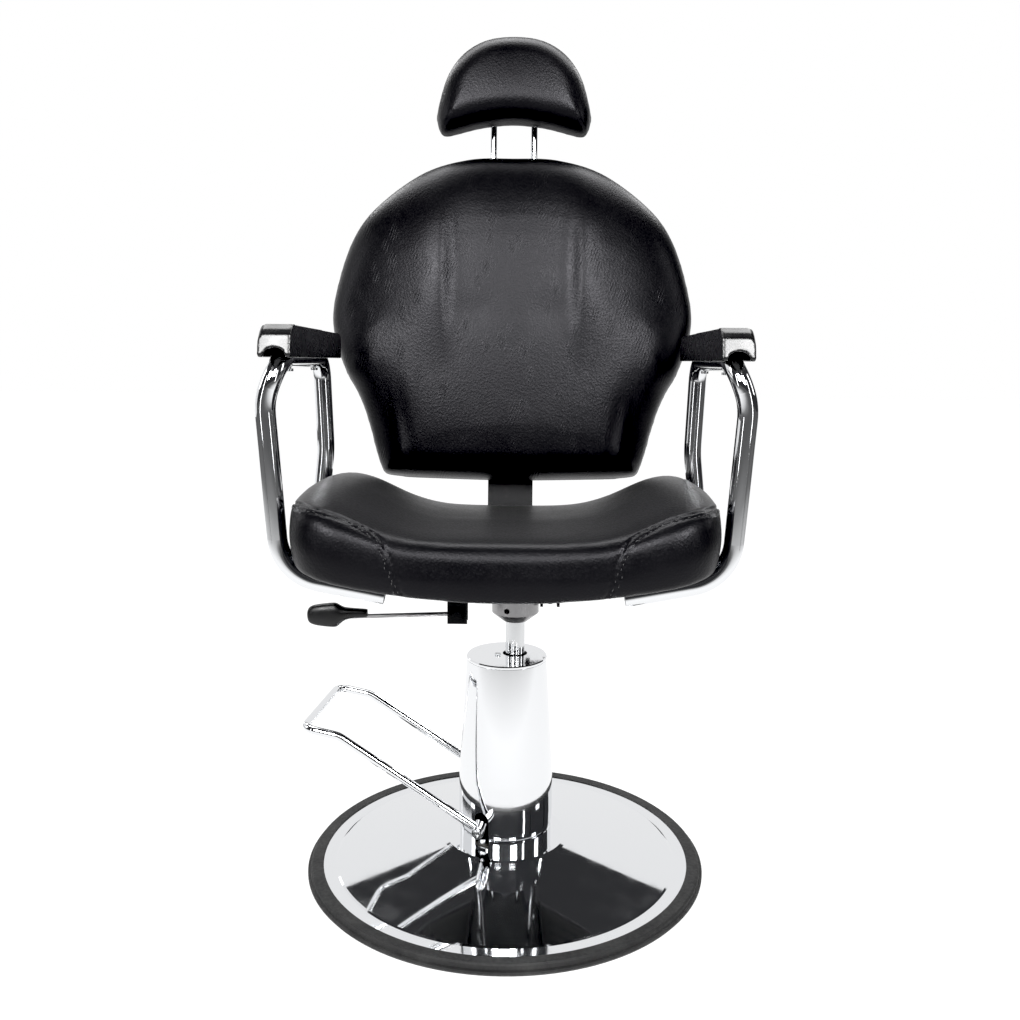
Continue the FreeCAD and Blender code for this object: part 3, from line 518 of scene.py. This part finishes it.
def chrome():
    """Bright plating: mirror-like, with a faint waviness and uneven polish."""
    finish = Finish("chrome_plate", (0.86, 0.87, 0.885), 0.05, 1.0)
    finish.rough(finish.ramp(finish.noise(38, 4), 0.35, 0.75, 0.035, 0.085))
    finish.bump(finish.noise(9, 1), 0.0006, 0.25)
    return finish.material


def ground_steel():
    """Ground and polished ram: fine marks round the shaft."""
    finish = Finish("ground_steel", (0.72, 0.73, 0.74), 0.14, 1.0)
    rings = finish.noise(1, 2, vector=finish.mapped((30, 30, 2600)))
    finish.rough(finish.ramp(rings, 0.3, 0.7, 0.10, 0.20))
    finish.bump(rings, 0.00002, 0.4)
    return finish.material


def bare_steel():
    """Machined steel with a thin oil film."""
    finish = Finish("bare_steel", (0.42, 0.42, 0.43), 0.34, 1.0)
    patches = finish.noise(60, 5)
    finish.colours(patches, (0.34, 0.33, 0.33), (0.50, 0.50, 0.51))
    finish.rough(finish.ramp(patches, 0.3, 0.7, 0.28, 0.45))
    finish.bump(finish.noise(900, 2), 0.00004, 0.5)
    return finish.material


def zinc():
    """Zinc-plated fasteners, slightly blue, with a crystalline mottle."""
    finish = Finish("zinc_plate", (0.66, 0.68, 0.70), 0.3, 1.0)
    finish.colours(finish.cells(420), (0.58, 0.60, 0.62), (0.74, 0.76, 0.77))
    finish.rough(finish.ramp(finish.noise(300, 3), 0.3, 0.7, 0.24, 0.42))
    return finish.material


def black_steel():
    """Black powder coat with its orange peel and worn, greyer high spots."""
    finish = Finish("powder_coat", (0.016, 0.016, 0.017), 0.46, Specular_IOR_Level=0.3)
    worn = finish.ramp(finish.noise(45, 6, 0.7), 0.55, 0.8)
    finish.colours(worn, (0.011, 0.011, 0.012), (0.026, 0.025, 0.025))
    finish.rough(finish.ramp(finish.noise(70, 3), 0.3, 0.7, 0.38, 0.56))
    finish.bump(finish.noise(1100, 2), 0.00012, 0.6)
    return finish.material


def cast_iron():
    """Painted sand casting."""
    finish = Finish("cast_iron", (0.06, 0.06, 0.062), 0.62, 0.3)
    finish.colours(finish.noise(80, 5), (0.040, 0.040, 0.042), (0.105, 0.100, 0.095))
    finish.bump(finish.noise(620, 4, 0.7), 0.0005, 0.7)
    return finish.material


def brass():
    """Turned brass, a little tarnished."""
    finish = Finish("brass", (0.62, 0.44, 0.19), 0.3, 1.0)
    finish.colours(finish.noise(140, 4), (0.45, 0.31, 0.13), (0.70, 0.51, 0.24))
    finish.rough(finish.ramp(finish.noise(90, 3), 0.3, 0.7, 0.22, 0.42))
    return finish.material


def rubber():
    """Moulded dark grey rubber with dust in its grain."""
    finish = Finish("moulded_rubber", (0.0147, 0.0147, 0.0151), 0.6)
    dusty = finish.ramp(finish.noise(26, 6, 0.65), 0.4, 0.75)
    finish.colours(dusty, (0.0168, 0.0168, 0.0172), (0.0357, 0.0357, 0.0353))
    finish.rough(finish.ramp(finish.noise(200, 3), 0.3, 0.7, 0.50, 0.72))
    finish.bump(finish.noise(1400, 2), 0.0002, 0.5)
    return finish.material


def vinyl(name, creases=False, sheen=0.0, gloss=0.28):
    """Black upholstery vinyl: fine grain, soft waves and, on the back, clusters of creases."""
    finish = Finish(name, (0.006, 0.006, 0.0066), 0.42, Specular_IOR_Level=gloss,
                    Specular_Tint=(0.95, 0.94, 1.0, 1.0), Sheen_Weight=sheen,
                    Sheen_Roughness=0.45)
    worn = finish.noise(14, 5, 0.6)
    finish.colours(worn, (0.0045, 0.0045, 0.0050), (0.0085, 0.0084, 0.0092))
    pebble = finish.cells(280, vector=finish.mapped((1, 1, 1), (17, 31, 9)))
    finish.rough(finish.combine("ADD", finish.ramp(worn, 0.3, 0.7, 0.36, 0.42),
                                finish.ramp(pebble, 0.0, 0.7, 0.05, -0.03)))
    finish.bump(finish.noise(9, 1), 0.0016, 0.25)
    finish.bump(pebble, 0.0004, 0.40)
    finish.bump(finish.noise(420, 2, 0.5), 0.0004, 0.35)
    if creases:
        patches = finish.ramp(finish.cells(1, vector=finish.mapped((42, 0, 21))), 0.42, 0.06)
        bands = finish.nodes.new("ShaderNodeTexWave")
        bands.bands_direction = "X"
        bands.inputs["Scale"].default_value = 74
        bands.inputs["Distortion"].default_value = 4.0
        bands.inputs["Detail Scale"].default_value = 1.2
        finish.links.new(finish.mapped((1, 0, 1), (0, -20, 0)), bands.inputs["Vector"])
        strokes = finish.ramp(bands.outputs["Fac"], 0.62, 0.96)
        finish.bump(finish.combine("MULTIPLY", patches, strokes), 0.0004, 0.7)
    return finish.material


def moulded_foam():
    """Self-skinned satin black foam of the arm pads."""
    finish = Finish("skinned_foam", (0.008, 0.008, 0.0085), 0.26, Specular_IOR_Level=0.7)
    finish.rough(finish.ramp(finish.noise(30, 4), 0.3, 0.7, 0.22, 0.32))
    finish.bump(finish.cells(900), 0.00008, 0.35)
    finish.bump(finish.noise(40, 1), 0.0003, 0.12)
    return finish.material


def black_plastic():
    """Satin moulded plastic."""
    finish = Finish("satin_plastic", (0.013, 0.013, 0.0135), 0.33)
    finish.rough(finish.ramp(finish.noise(60, 3), 0.3, 0.7, 0.27, 0.40))
    finish.bump(finish.noise(1300, 2), 0.00006, 0.5)
    return finish.material


def thread():
    """Black bonded thread with its twist."""
    finish = Finish("black_thread", (0.022, 0.022, 0.023), 0.5, Sheen_Weight=0.3)
    finish.bump(finish.noise(1, 1, vector=finish.mapped((2200, 2200, 900))), 0.0002, 0.6)
    finish.colours(finish.noise(400, 2), (0.015, 0.015, 0.016), (0.040, 0.040, 0.042))
    return finish.material


def dust_cloth():
    """Black non-woven cloth stapled under the seat."""
    finish = Finish("dust_cloth", (0.010, 0.010, 0.010), 0.85, Sheen_Weight=0.15)
    fibres = finish.noise(1, 4, 0.7, vector=finish.mapped((900, 260, 900), (0, 0, 27)))
    finish.colours(fibres, (0.006, 0.006, 0.006), (0.018, 0.018, 0.018))
    finish.bump(fibres, 0.0003, 0.6)
    return finish.material


# ---- pieces ----------------------------------------------------------------------------
def finished(piece, material, slot, body, *nodes):
    """Give a piece its material and body, and hide the CAD nodes it stands for. The slot argument is not used."""
    piece.data.materials.clear()
    piece.data.materials.append(material)
    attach(piece, body)
    if nodes:
        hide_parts(*nodes)
    return piece


def seat_outline():
    """The seat from above: wide in front, tapering to the rear, with rounded corners."""
    rear_half = SEAT_HALF - 0.013
    corners = [((SEAT_HALF, SEAT_FRONT), 0.075), ((SEAT_HALF, -0.12), 0.25),
               ((rear_half, SEAT_REAR), 0.045)]
    corners = corners + [((-x, y), r) for (x, y), r in reversed(corners)]
    points = []
    for i, (corner, radius) in enumerate(corners):
        here = np.array(corner)
        back = np.array(corners[i - 1][0]) - here
        ahead = np.array(corners[(i + 1) % len(corners)][0]) - here
        back, ahead = back / np.linalg.norm(back), ahead / np.linalg.norm(ahead)
        half = math.acos(max(-1, min(1, back @ ahead))) / 2
        reach = radius / math.tan(half)
        start, end = here + back * reach, here + ahead * reach
        for t in np.linspace(0, 1, 13):
            points.append((1 - t) ** 2 * start + 2 * t * (1 - t) * here + t ** 2 * end)
    return evenly(np.array(points), 280)


def seat_top(flat):
    """Height of the saddle: dished between two crests."""
    dish = np.interp(flat[:, 1], SEAT_STATIONS, SEAT_DISH)
    fit = np.polyfit(SEAT_STATIONS, SEAT_CREST, 2)
    crest = np.polyval(fit, flat[:, 1]) + 0.002
    across = smoothstep(np.abs(flat[:, 0]) / (SEAT_HALF - 0.019)) ** 2.9
    return dish + (crest - dish) * across


def seat_bottom(flat):
    """Height of the boat-shaped underside."""
    return SEAT_LOW.z + SEAT_SAG_R - np.sqrt(SEAT_SAG_R ** 2 - flat[:, 0] ** 2)


def seat_roll(spots, outward):
    """Radius of the seat's upper edge: full in front, tighter at the sides and rear."""
    return 0.013 + 0.013 * np.clip(-outward[:, 1], 0, 1) ** 2 + 0.012 * np.clip(outward[:, 1], 0, 1)


def seat_place(u, v, w):
    """The seat's front face leans back a little towards its foot."""
    tuck = 0.012 * float(smoothstep((0.560 - w) / 0.09) * smoothstep((-0.15 - v) / 0.12))
    return Vector((u, v + tuck, w))


LAP_MIDDLE = 0.0042            # distances of the raised lap and its stitches from the seam
LAP_STITCHES = 0.0078


def dress_seat(piece, side):
    """The corner panel's seam, the raised lap beside it and the stitch line on that lap."""
    seam = [(side * x, y, z) for x, y, z in SEAT_SEAM]
    curve = open_curve(seam, 0.002)
    for aside, width, depth in ((0, 0.0034, 0.0024), (LAP_MIDDLE, 0.0040, -0.0010),
                                (LAP_STITCHES, 0.0026, 0.0010)):
        pressed(piece, laid_on(piece, curve, side * aside), width, depth)
    return laid_on(piece, curve, side * LAP_STITCHES)


def make_seat(cover):
    """The saddle cushion."""
    piece = pad("seat_cover", seat_outline(), seat_top, seat_bottom, seat_roll, seat_place,
                low=SEAT_LOW_EDGE, swell=0.003)
    upholstered(piece, 0.005, lambda p: p[:, 2] < seat_bottom(p) + SEAT_LOW_EDGE, 2.5,
                ease=6, even=40)
    rows = [dress_seat(piece, side) for side in (-1, 1)]
    finished(piece, cover, "black_vinyl", "seat", "seat_cushion")
    stitches = stitching("seat_stitching", rows)
    finished(stitches, thread(), "black_vinyl", "seat")
    return piece


def make_seat_underside(cloth):
    """Dust cloth over the seat's board, tucked in at its edge."""
    low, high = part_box("seat_board")
    corners = [(high.x, low.y), (high.x, high.y), (-high.x, high.y), (-high.x, low.y)]
    sides = np.array([np.array(a) + (np.array(b) - np.array(a)) * t
                      for a, b in zip(corners, corners[1:] + corners[:1])
                      for t in np.linspace(0, 1, 40, endpoint=False)])
    outline = evenly(sides, 240)
    piece = pad("seat_dust_cloth", outline, lambda p: seat_bottom(p) + 0.0115, seat_bottom,
                constant(PANEL_EDGE),
                upright_place, low=0.002, swell=0.0)
    return finished(piece, cloth, "black_vinyl", "seat", "seat_board")


def back_top(flat):
    """Front surface of the back cushion, crowned both ways."""
    x, z = flat[:, 0], flat[:, 1]
    crown = 0.012 * (1 - (x / 0.30) ** 2) - 0.006 * ((z - 0.37) / 0.25) ** 2
    return BACK_REAR + BACK_DEPTH - 0.004 + crown


def back_reach(spots, outward):
    """How far in the face's fall begins: broad at the shoulders, short at the foot."""
    side = 0.058 + 0.050 * smoothstep((spots[:, 1] - 0.22) / 0.18)
    return side - (side - 0.042) * smoothstep(-outward[:, 1] / 0.7)


RIDGE_X = 0.112                # the back's upright ridges, either side of the middle
RIDGE_HEIGHT = 0.0085
DENT_DEPTH = 0.0014


def back_relief(points):
    """Soft upright ridges either side of the middle and two dents below them."""
    from_hinge = points - np.array(HINGE)
    x, z = np.abs(from_hinge[:, 0]), from_hinge @ np.array(UP)
    facing = smoothstep((-(from_hinge @ np.array(REARWARD)) - 0.03) / 0.03)
    tall = smoothstep((z - 0.27) / 0.17) * smoothstep((0.62 - z) / 0.16)
    width = np.where(x < RIDGE_X, 0.018, 0.052)
    ridges = RIDGE_HEIGHT * np.exp(-((x - RIDGE_X) / width) ** 2) * tall
    dents = DENT_DEPTH * np.exp(-((x - 0.060) / 0.036) ** 2 - ((z - 0.372) / 0.026) ** 2)
    return (ridges - dents) * facing


def dress_back(piece):
    """Creases that run up from the lower corners, with short pleats under them."""
    for side in (-1, 1):
        for path, width, depth in (
                ([(0.153, 0.110), (0.158, 0.160), (0.166, 0.205), (0.173, 0.255)], 0.013, 0.0016),
                ([(0.178, 0.106), (0.184, 0.135), (0.192, 0.165)], 0.009, 0.0024),
                ([(0.128, 0.106), (0.131, 0.124), (0.136, 0.142)], 0.008, 0.0016)):
            front = [leaned_point(side * x, -0.10, z) for x, z in path]
            laid = laid_on(piece, open_curve(front, 0.003))
            pressed(piece, laid, width, depth, fades=True)


def make_back(cover):
    """The back cushion."""
    outline = closed_curve(both_halves(BACK_HALF), 300)
    piece = pad("back_cover", outline, back_top, constant(BACK_REAR), back_reach,
                leaned_place, low=0.008, swell=0.003,
                drop=BACK_DROP, fullness=2.2)
    upholstered(piece, 0.005, behind(-BACK_REAR - HELD_REAR), 2.0, even=80)
    displaced(piece, back_relief)
    dress_back(piece)
    finished(piece, cover, "black_vinyl", "backrest", "back_cushion")
    return piece


def make_back_rear(cover):
    """Vinyl-covered rear panel over the back's board."""
    points = [(x * 0.94, z * 0.97 + 0.012) for x, z in both_halves(BACK_HALF)]
    piece = pad("back_rear_panel", closed_curve(points, 260),
                constant(BACK_REAR - PANEL_GAP), constant(BACK_PANEL_REAR),
                constant(PANEL_EDGE),
                leaned_place, low=0.005, swell=0.0)
    return finished(piece, cover, "black_vinyl", "backrest", "back_board")


def head_top(flat):
    """Front surface of the headrest, crowned both ways."""
    x, z = flat[:, 0] / 0.117, (flat[:, 1] - 0.735) / 0.075
    return HEAD_FRONT - 0.010 + 0.011 * np.clip(1 - 0.55 * x ** 2 - 0.45 * z ** 2, 0, 1)


def make_headrest(cover):
    """The half-moon headrest cushion."""
    outline = closed_curve(both_halves(HEAD_HALF), 220)
    piece = pad("headrest_cover", outline, head_top, constant(HEAD_REAR),
                constant(HEAD_ROLL),
                leaned_place, low=0.010, swell=0.002)
    upholstered(piece, 0.004, behind(-HEAD_REAR - HELD_REAR), 3.0)
    finished(piece, cover, "black_vinyl", "headrest", "headrest_cushion")
    return piece


def make_head_rear(cover):
    """Vinyl-covered rear panel of the headrest."""
    points = [(x * 0.88, (z - 0.730) * 0.88 + 0.730) for x, z in both_halves(HEAD_HALF)]
    piece = pad("headrest_rear_panel", closed_curve(points, 200),
                constant(HEAD_REAR - PANEL_GAP), constant(HEAD_PANEL_REAR),
                constant(PANEL_EDGE),
                leaned_place, low=0.004, swell=0.0)
    return finished(piece, cover, "black_vinyl", "headrest", "headrest_board")


PAD_NOSE_HEIGHT = 0.039        # of the arm pad above its foot, at the front and at the rear
PAD_TAIL_HEIGHT = 0.036
PAD_EDGE = 0.007               # bevel of its outer edge
PAD_FIT = 0.0012               # room between the pad's groove and the tube


def make_arm_pad(side, foam):
    """One moulded pad: rolled nose, flat inner face, soft outer edge, groove for the tube."""
    node = "arm_pad_right" if side > 0 else "arm_pad_left"
    low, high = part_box(node)
    middle = (low.x + high.x) / 2
    half = (high.x - low.x) / 2
    rail = TUBE_TOP - TUBE_R
    front, rear, base = low.y, high.y + 0.001, rail + 0.002
    nose_top, tail_top = base + PAD_NOSE_HEIGHT, base + PAD_TAIL_HEIGHT
    profile = [(front + 0.004, base), (front + 0.0005, base + 0.003), (front + 0.006, base + 0.027),
               (front + 0.012, base + 0.033), (front + 0.021, nose_top), (rear - 0.012, tail_top),
               (rear - 0.004, tail_top - 0.003), (rear, tail_top - 0.009),
               (rear - 0.001, base + 0.002), (rear - 0.004, base)]
    shape = bmesh.new()
    for x in (middle - half, middle + half):
        shape.faces.new([shape.verts.new((x, y, z)) for y, z in profile])
    shape.verts.ensure_lookup_table()
    count = len(profile)
    for i in range(count):
        j = (i + 1) % count
        shape.faces.new([shape.verts[k] for k in (i, j, j + count, i + count)])
    bmesh.ops.recalc_face_normals(shape, faces=shape.faces)
    outer = [e for e in shape.edges
             if all(abs(v.co.x - (middle + side * half)) < 1e-6 for v in e.verts)
             and all(v.co.z > base + 0.005 for v in e.verts)]
    bmesh.ops.bevel(shape, geom=outer, offset=PAD_EDGE, segments=4, affect="EDGES", profile=0.5)
    mesh = bpy.data.meshes.new(node + "_moulding")
    shape.to_mesh(mesh)
    shape.free()
    piece = bpy.data.objects.new(node + "_moulding", mesh)
    bpy.context.scene.collection.objects.link(piece)
    groove = bmesh.new()
    bmesh.ops.create_cone(groove, cap_ends=True, segments=64, radius1=TUBE_R + PAD_FIT,
                          radius2=TUBE_R + PAD_FIT, depth=0.5)
    cutter_mesh = bpy.data.meshes.new("groove")
    groove.to_mesh(cutter_mesh)
    groove.free()
    cutter = bpy.data.objects.new("groove", cutter_mesh)
    cutter.rotation_euler = (math.pi / 2, 0, 0)
    cutter.location = (middle, (front + rear) / 2, rail)
    bpy.context.scene.collection.objects.link(cutter)
    cut = piece.modifiers.new("groove", "BOOLEAN")
    cut.object = cutter
    cut.solver = "EXACT"
    apply_modifiers(piece)
    bpy.data.objects.remove(cutter)
    remeshed(piece, 0.0016)
    relaxed(piece, 3)
    pivot = np.array((0, RAIL_FRONT, rail))
    turn = np.array(Matrix.Rotation(-RAIL_FALL, 3, "X"))
    set_coordinates(piece, (coordinates(piece) - pivot) @ turn.T + pivot)
    finished(piece, foam, "arm_pad_plastic", "seat", node)
    return piece


def make_grip(plastic):
    """The lever's moulded grip: a slim neck that swells to a flattened bulb."""
    low, high = GRIP_LOW, GRIP_HIGH
    length = high.x - low.x
    rod_low, rod_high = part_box("lever_rod")
    middle_y = (low.y + high.y) / 2
    neck = (rod_low.z + rod_high.z) / 2
    stations = [(0.000, -0.0035, 0.0005, 0.0005), (0.012, -0.0035, 0.0080, 0.0050),
                (0.05, -0.0035, 0.0125, 0.0075), (0.14, -0.0034, 0.0152, 0.0088),
                (0.30, -0.0033, 0.0170, 0.0092), (0.43, -0.0031, 0.0180, 0.0092),
                (0.49, -0.0030, 0.0176, 0.0091), (0.54, -0.0025, 0.0140, 0.0088),
                (0.60, -0.0015, 0.0100, 0.0084), (0.67, -0.0005, 0.0082, 0.0080),
                (0.80, 0, 0.0068, 0.0068), (0.985, 0, 0.0061, 0.0061),
                (0.998, 0, 0.0052, 0.0052), (1.0, 0, 0.0030, 0.0030)]
    vertices, faces, count = [], [], 40
    for share, drop, tall, wide in stations:
        for i in range(count):
            a = 2 * math.pi * i / count
            c, s = math.cos(a), math.sin(a)
            vertices.append((low.x + share * length,
                             middle_y + wide * math.copysign(abs(c) ** 0.8, c),
                             neck + drop + tall * math.copysign(abs(s) ** 0.8, s)))
    for ring in range(len(stations) - 1):
        for i in range(count):
            j = (i + 1) % count
            faces.append((ring * count + i, ring * count + j, (ring + 1) * count + j,
                          (ring + 1) * count + i))
    faces.append(tuple(range(count)))
    faces.append(tuple(range(len(vertices) - count, len(vertices))))
    piece = new_object("lever_grip_moulding", vertices, faces)
    subdivided(piece, 2)
    return finished(piece, plastic, "black_plastic", "lever", "lever_grip")


def paint_cad():
    """Give every CAD node that stays visible the finish its record slot names."""
    finishes = {"chrome": chrome(), "polished_steel": ground_steel(), "bare_steel": bare_steel(),
                "zinc_fasteners": zinc(), "black_steel": black_steel(), "cast_iron": cast_iron(),
                "brass": brass(), "rubber": rubber(), "plywood": black_steel(),
                "black_vinyl": vinyl("vinyl_plain"), "arm_pad_plastic": moulded_foam(),
                "black_plastic": black_plastic()}
    for entry in frame["record"]["subparts"]:
        for slot in NODES[entry["node"]].material_slots:
            slot.material = finishes[entry["material_slot"]]
    return finishes


# ---- stage -----------------------------------------------------------------------------
CAMERA_TURN = math.radians(0.8)        # the camera stands a little to the sitter's left
CAMERA_BACK = 1.490
CAMERA_SIDE = 0.0030
CAMERA_ROLL = math.radians(0.48)
CAMERA_HEIGHT = 0.820
CAMERA_TILT = math.radians(10.6)
CAMERA_LENS = 37.4


def make_camera():
    """Camera at eye height of a seated person, looking slightly down."""
    data = bpy.data.cameras.new("camera")
    data.lens = CAMERA_LENS
    data.sensor_width = 36.0
    data.clip_start = 0.05
    camera = bpy.data.objects.new("camera", data)
    turn_c, turn_s = math.cos(CAMERA_TURN), math.sin(CAMERA_TURN)
    camera.location = (CAMERA_SIDE * turn_c + CAMERA_BACK * turn_s,
                       CAMERA_SIDE * turn_s - CAMERA_BACK * turn_c, CAMERA_HEIGHT)
    camera.rotation_euler = (Euler((math.pi / 2 - CAMERA_TILT, 0, CAMERA_TURN)).to_matrix()
                             @ Matrix.Rotation(CAMERA_ROLL, 3, "Z")).to_euler()
    bpy.context.scene.collection.objects.link(camera)
    bpy.context.scene.camera = camera


def softbox(name, place, target, width, height, radiance):
    """Rectangular studio light of even brightness."""
    data = bpy.data.lights.new(name, "AREA")
    data.shape = "RECTANGLE"
    data.size, data.size_y = width, height
    data.energy = radiance * math.pi * width * height
    light = bpy.data.objects.new(name, data)
    light.location = place
    light.rotation_euler = (Vector(target) - Vector(place)).to_track_quat("-Z", "Y").to_euler()
    light.visible_camera = False
    bpy.context.scene.collection.objects.link(light)


FLOOR_BRIGHT_R = 1.5           # the floor's painted glow, a pool of emitted light seen in reflections: full inside, faint outside
FLOOR_DARK_R = 2.9
BLACK_LEVEL = 0.018            # the view's black point


def make_stage():
    """Pale floor and softboxes, with surroundings that are white to the eye.

    In reflections the floor shows a painted pool of light, an emitted glow that fades with distance, and the rest
    is dark, so that chrome shows. The same glow also lights the chair from below.
    """
    floor = new_object("floor", [(-9, -9, 0), (9, -9, 0), (9, 9, 0), (-9, 9, 0)], [(0, 1, 2, 3)])
    finish = Finish("floor_painted_glow", (0.12, 0.12, 0.12), 0.8, Specular_IOR_Level=0.1)
    finish.colours(finish.noise(2, 2), (0.115, 0.115, 0.115), (0.125, 0.125, 0.125))
    finish.shader.inputs["Emission Color"].default_value = (1, 1, 1, 1)
    seen = finish.nodes.new("ShaderNodeLightPath").outputs["Is Camera Ray"]
    reach = finish.nodes.new("ShaderNodeVectorMath")
    reach.operation = "DISTANCE"
    reach.inputs[1].default_value = (0, 0.7, 0)
    finish.links.new(finish.place, reach.inputs[0])
    # painted pool of light: the floor's emission is strong near the chair and fades outward; camera rays see it
    # evenly white
    glow = finish.ramp(reach.outputs["Value"], FLOOR_BRIGHT_R, FLOOR_DARK_R, 0.90, 0.10)
    strength = finish.combine("MAXIMUM", glow, seen)
    finish.links.new(strength, finish.shader.inputs["Emission Strength"])
    floor.data.materials.append(finish.material)
    world = bpy.data.worlds.new("studio")
    bpy.context.scene.world = world
    world.use_nodes = True
    nodes, links = world.node_tree.nodes, world.node_tree.links
    seen, lit = nodes["Background"], nodes.new("ShaderNodeBackground")
    seen.inputs["Color"].default_value = (1, 1, 1, 1)
    lit.inputs["Color"].default_value = (0.05, 0.05, 0.052, 1)
    mix, path = nodes.new("ShaderNodeMixShader"), nodes.new("ShaderNodeLightPath")
    links.new(path.outputs["Is Camera Ray"], mix.inputs["Fac"])
    links.new(lit.outputs[0], mix.inputs[1])
    links.new(seen.outputs[0], mix.inputs[2])
    links.new(mix.outputs[0], nodes["World Output"].inputs["Surface"])
    middle = (0, 0, 0.75)
    for side in (-1, 1):
        softbox("front_box", (side * 0.84, -2.1, 1.72), middle, 0.58, 1.05, 26.0)
        softbox("side_strip", (side * 2.3, -0.2, 1.5), middle, 0.45, 1.2, 3.0)
        softbox("rear_box", (side * 1.5, 2.0, 2.5), middle, 0.6, 0.6, 9.0)
        softbox("tube_strip", (side * 1.75, -1.7, 1.0), middle, 0.14, 1.7, 5.0)
    softbox("key_box", (0.0, -2.2, 1.75), middle, 0.9, 0.7, 4.0)
    softbox("top_box", (0.0, 0.75, 2.4), (0, -0.25, 0.5), 2.4, 0.8, 5.5)
    softbox("backdrop", (0, 2.6, 1.0), (0, 0, 1.0), 6.0, 2.0, 0.85)
    softbox("left_card", (-2.6, 1.0, 1.3), (0, 0, 0.3), 2.6, 2.2, 0.8)
    for x, y, half, tall in ((-1.5, -1.0, 0.05, 1.3), (1.45, -0.75, 0.07, 1.5),
                             (1.9, 0.6, 0.2, 1.2)):
        flag = new_object("dark_flag", [(x - half, y, 0), (x + half, y, 0), (x + half, y, tall),
                                        (x - half, y, tall)], [(0, 1, 2, 3)])
        flag.data.materials.append(Finish("dark_flag", (0.01, 0.01, 0.01), 0.9).material)
        flag.visible_camera = False
    settings = bpy.context.scene.view_settings
    settings.view_transform = "Standard"
    settings.use_curve_mapping = True
    settings.curve_mapping.black_level = (BLACK_LEVEL, BLACK_LEVEL, BLACK_LEVEL)


# ---- build -----------------------------------------------------------------------------
make_camera()
make_stage()
finishes = paint_cad()
creased = vinyl("vinyl_creased", creases=True)
make_seat(vinyl("vinyl_seat", sheen=0.04, gloss=0.25))
make_seat_underside(dust_cloth())
make_back(creased)
make_back_rear(finishes["black_vinyl"])
make_headrest(finishes["black_vinyl"])
make_head_rear(finishes["black_vinyl"])
for hand in (-1, 1):
    make_arm_pad(hand, finishes["arm_pad_plastic"])
make_grip(finishes["black_plastic"])
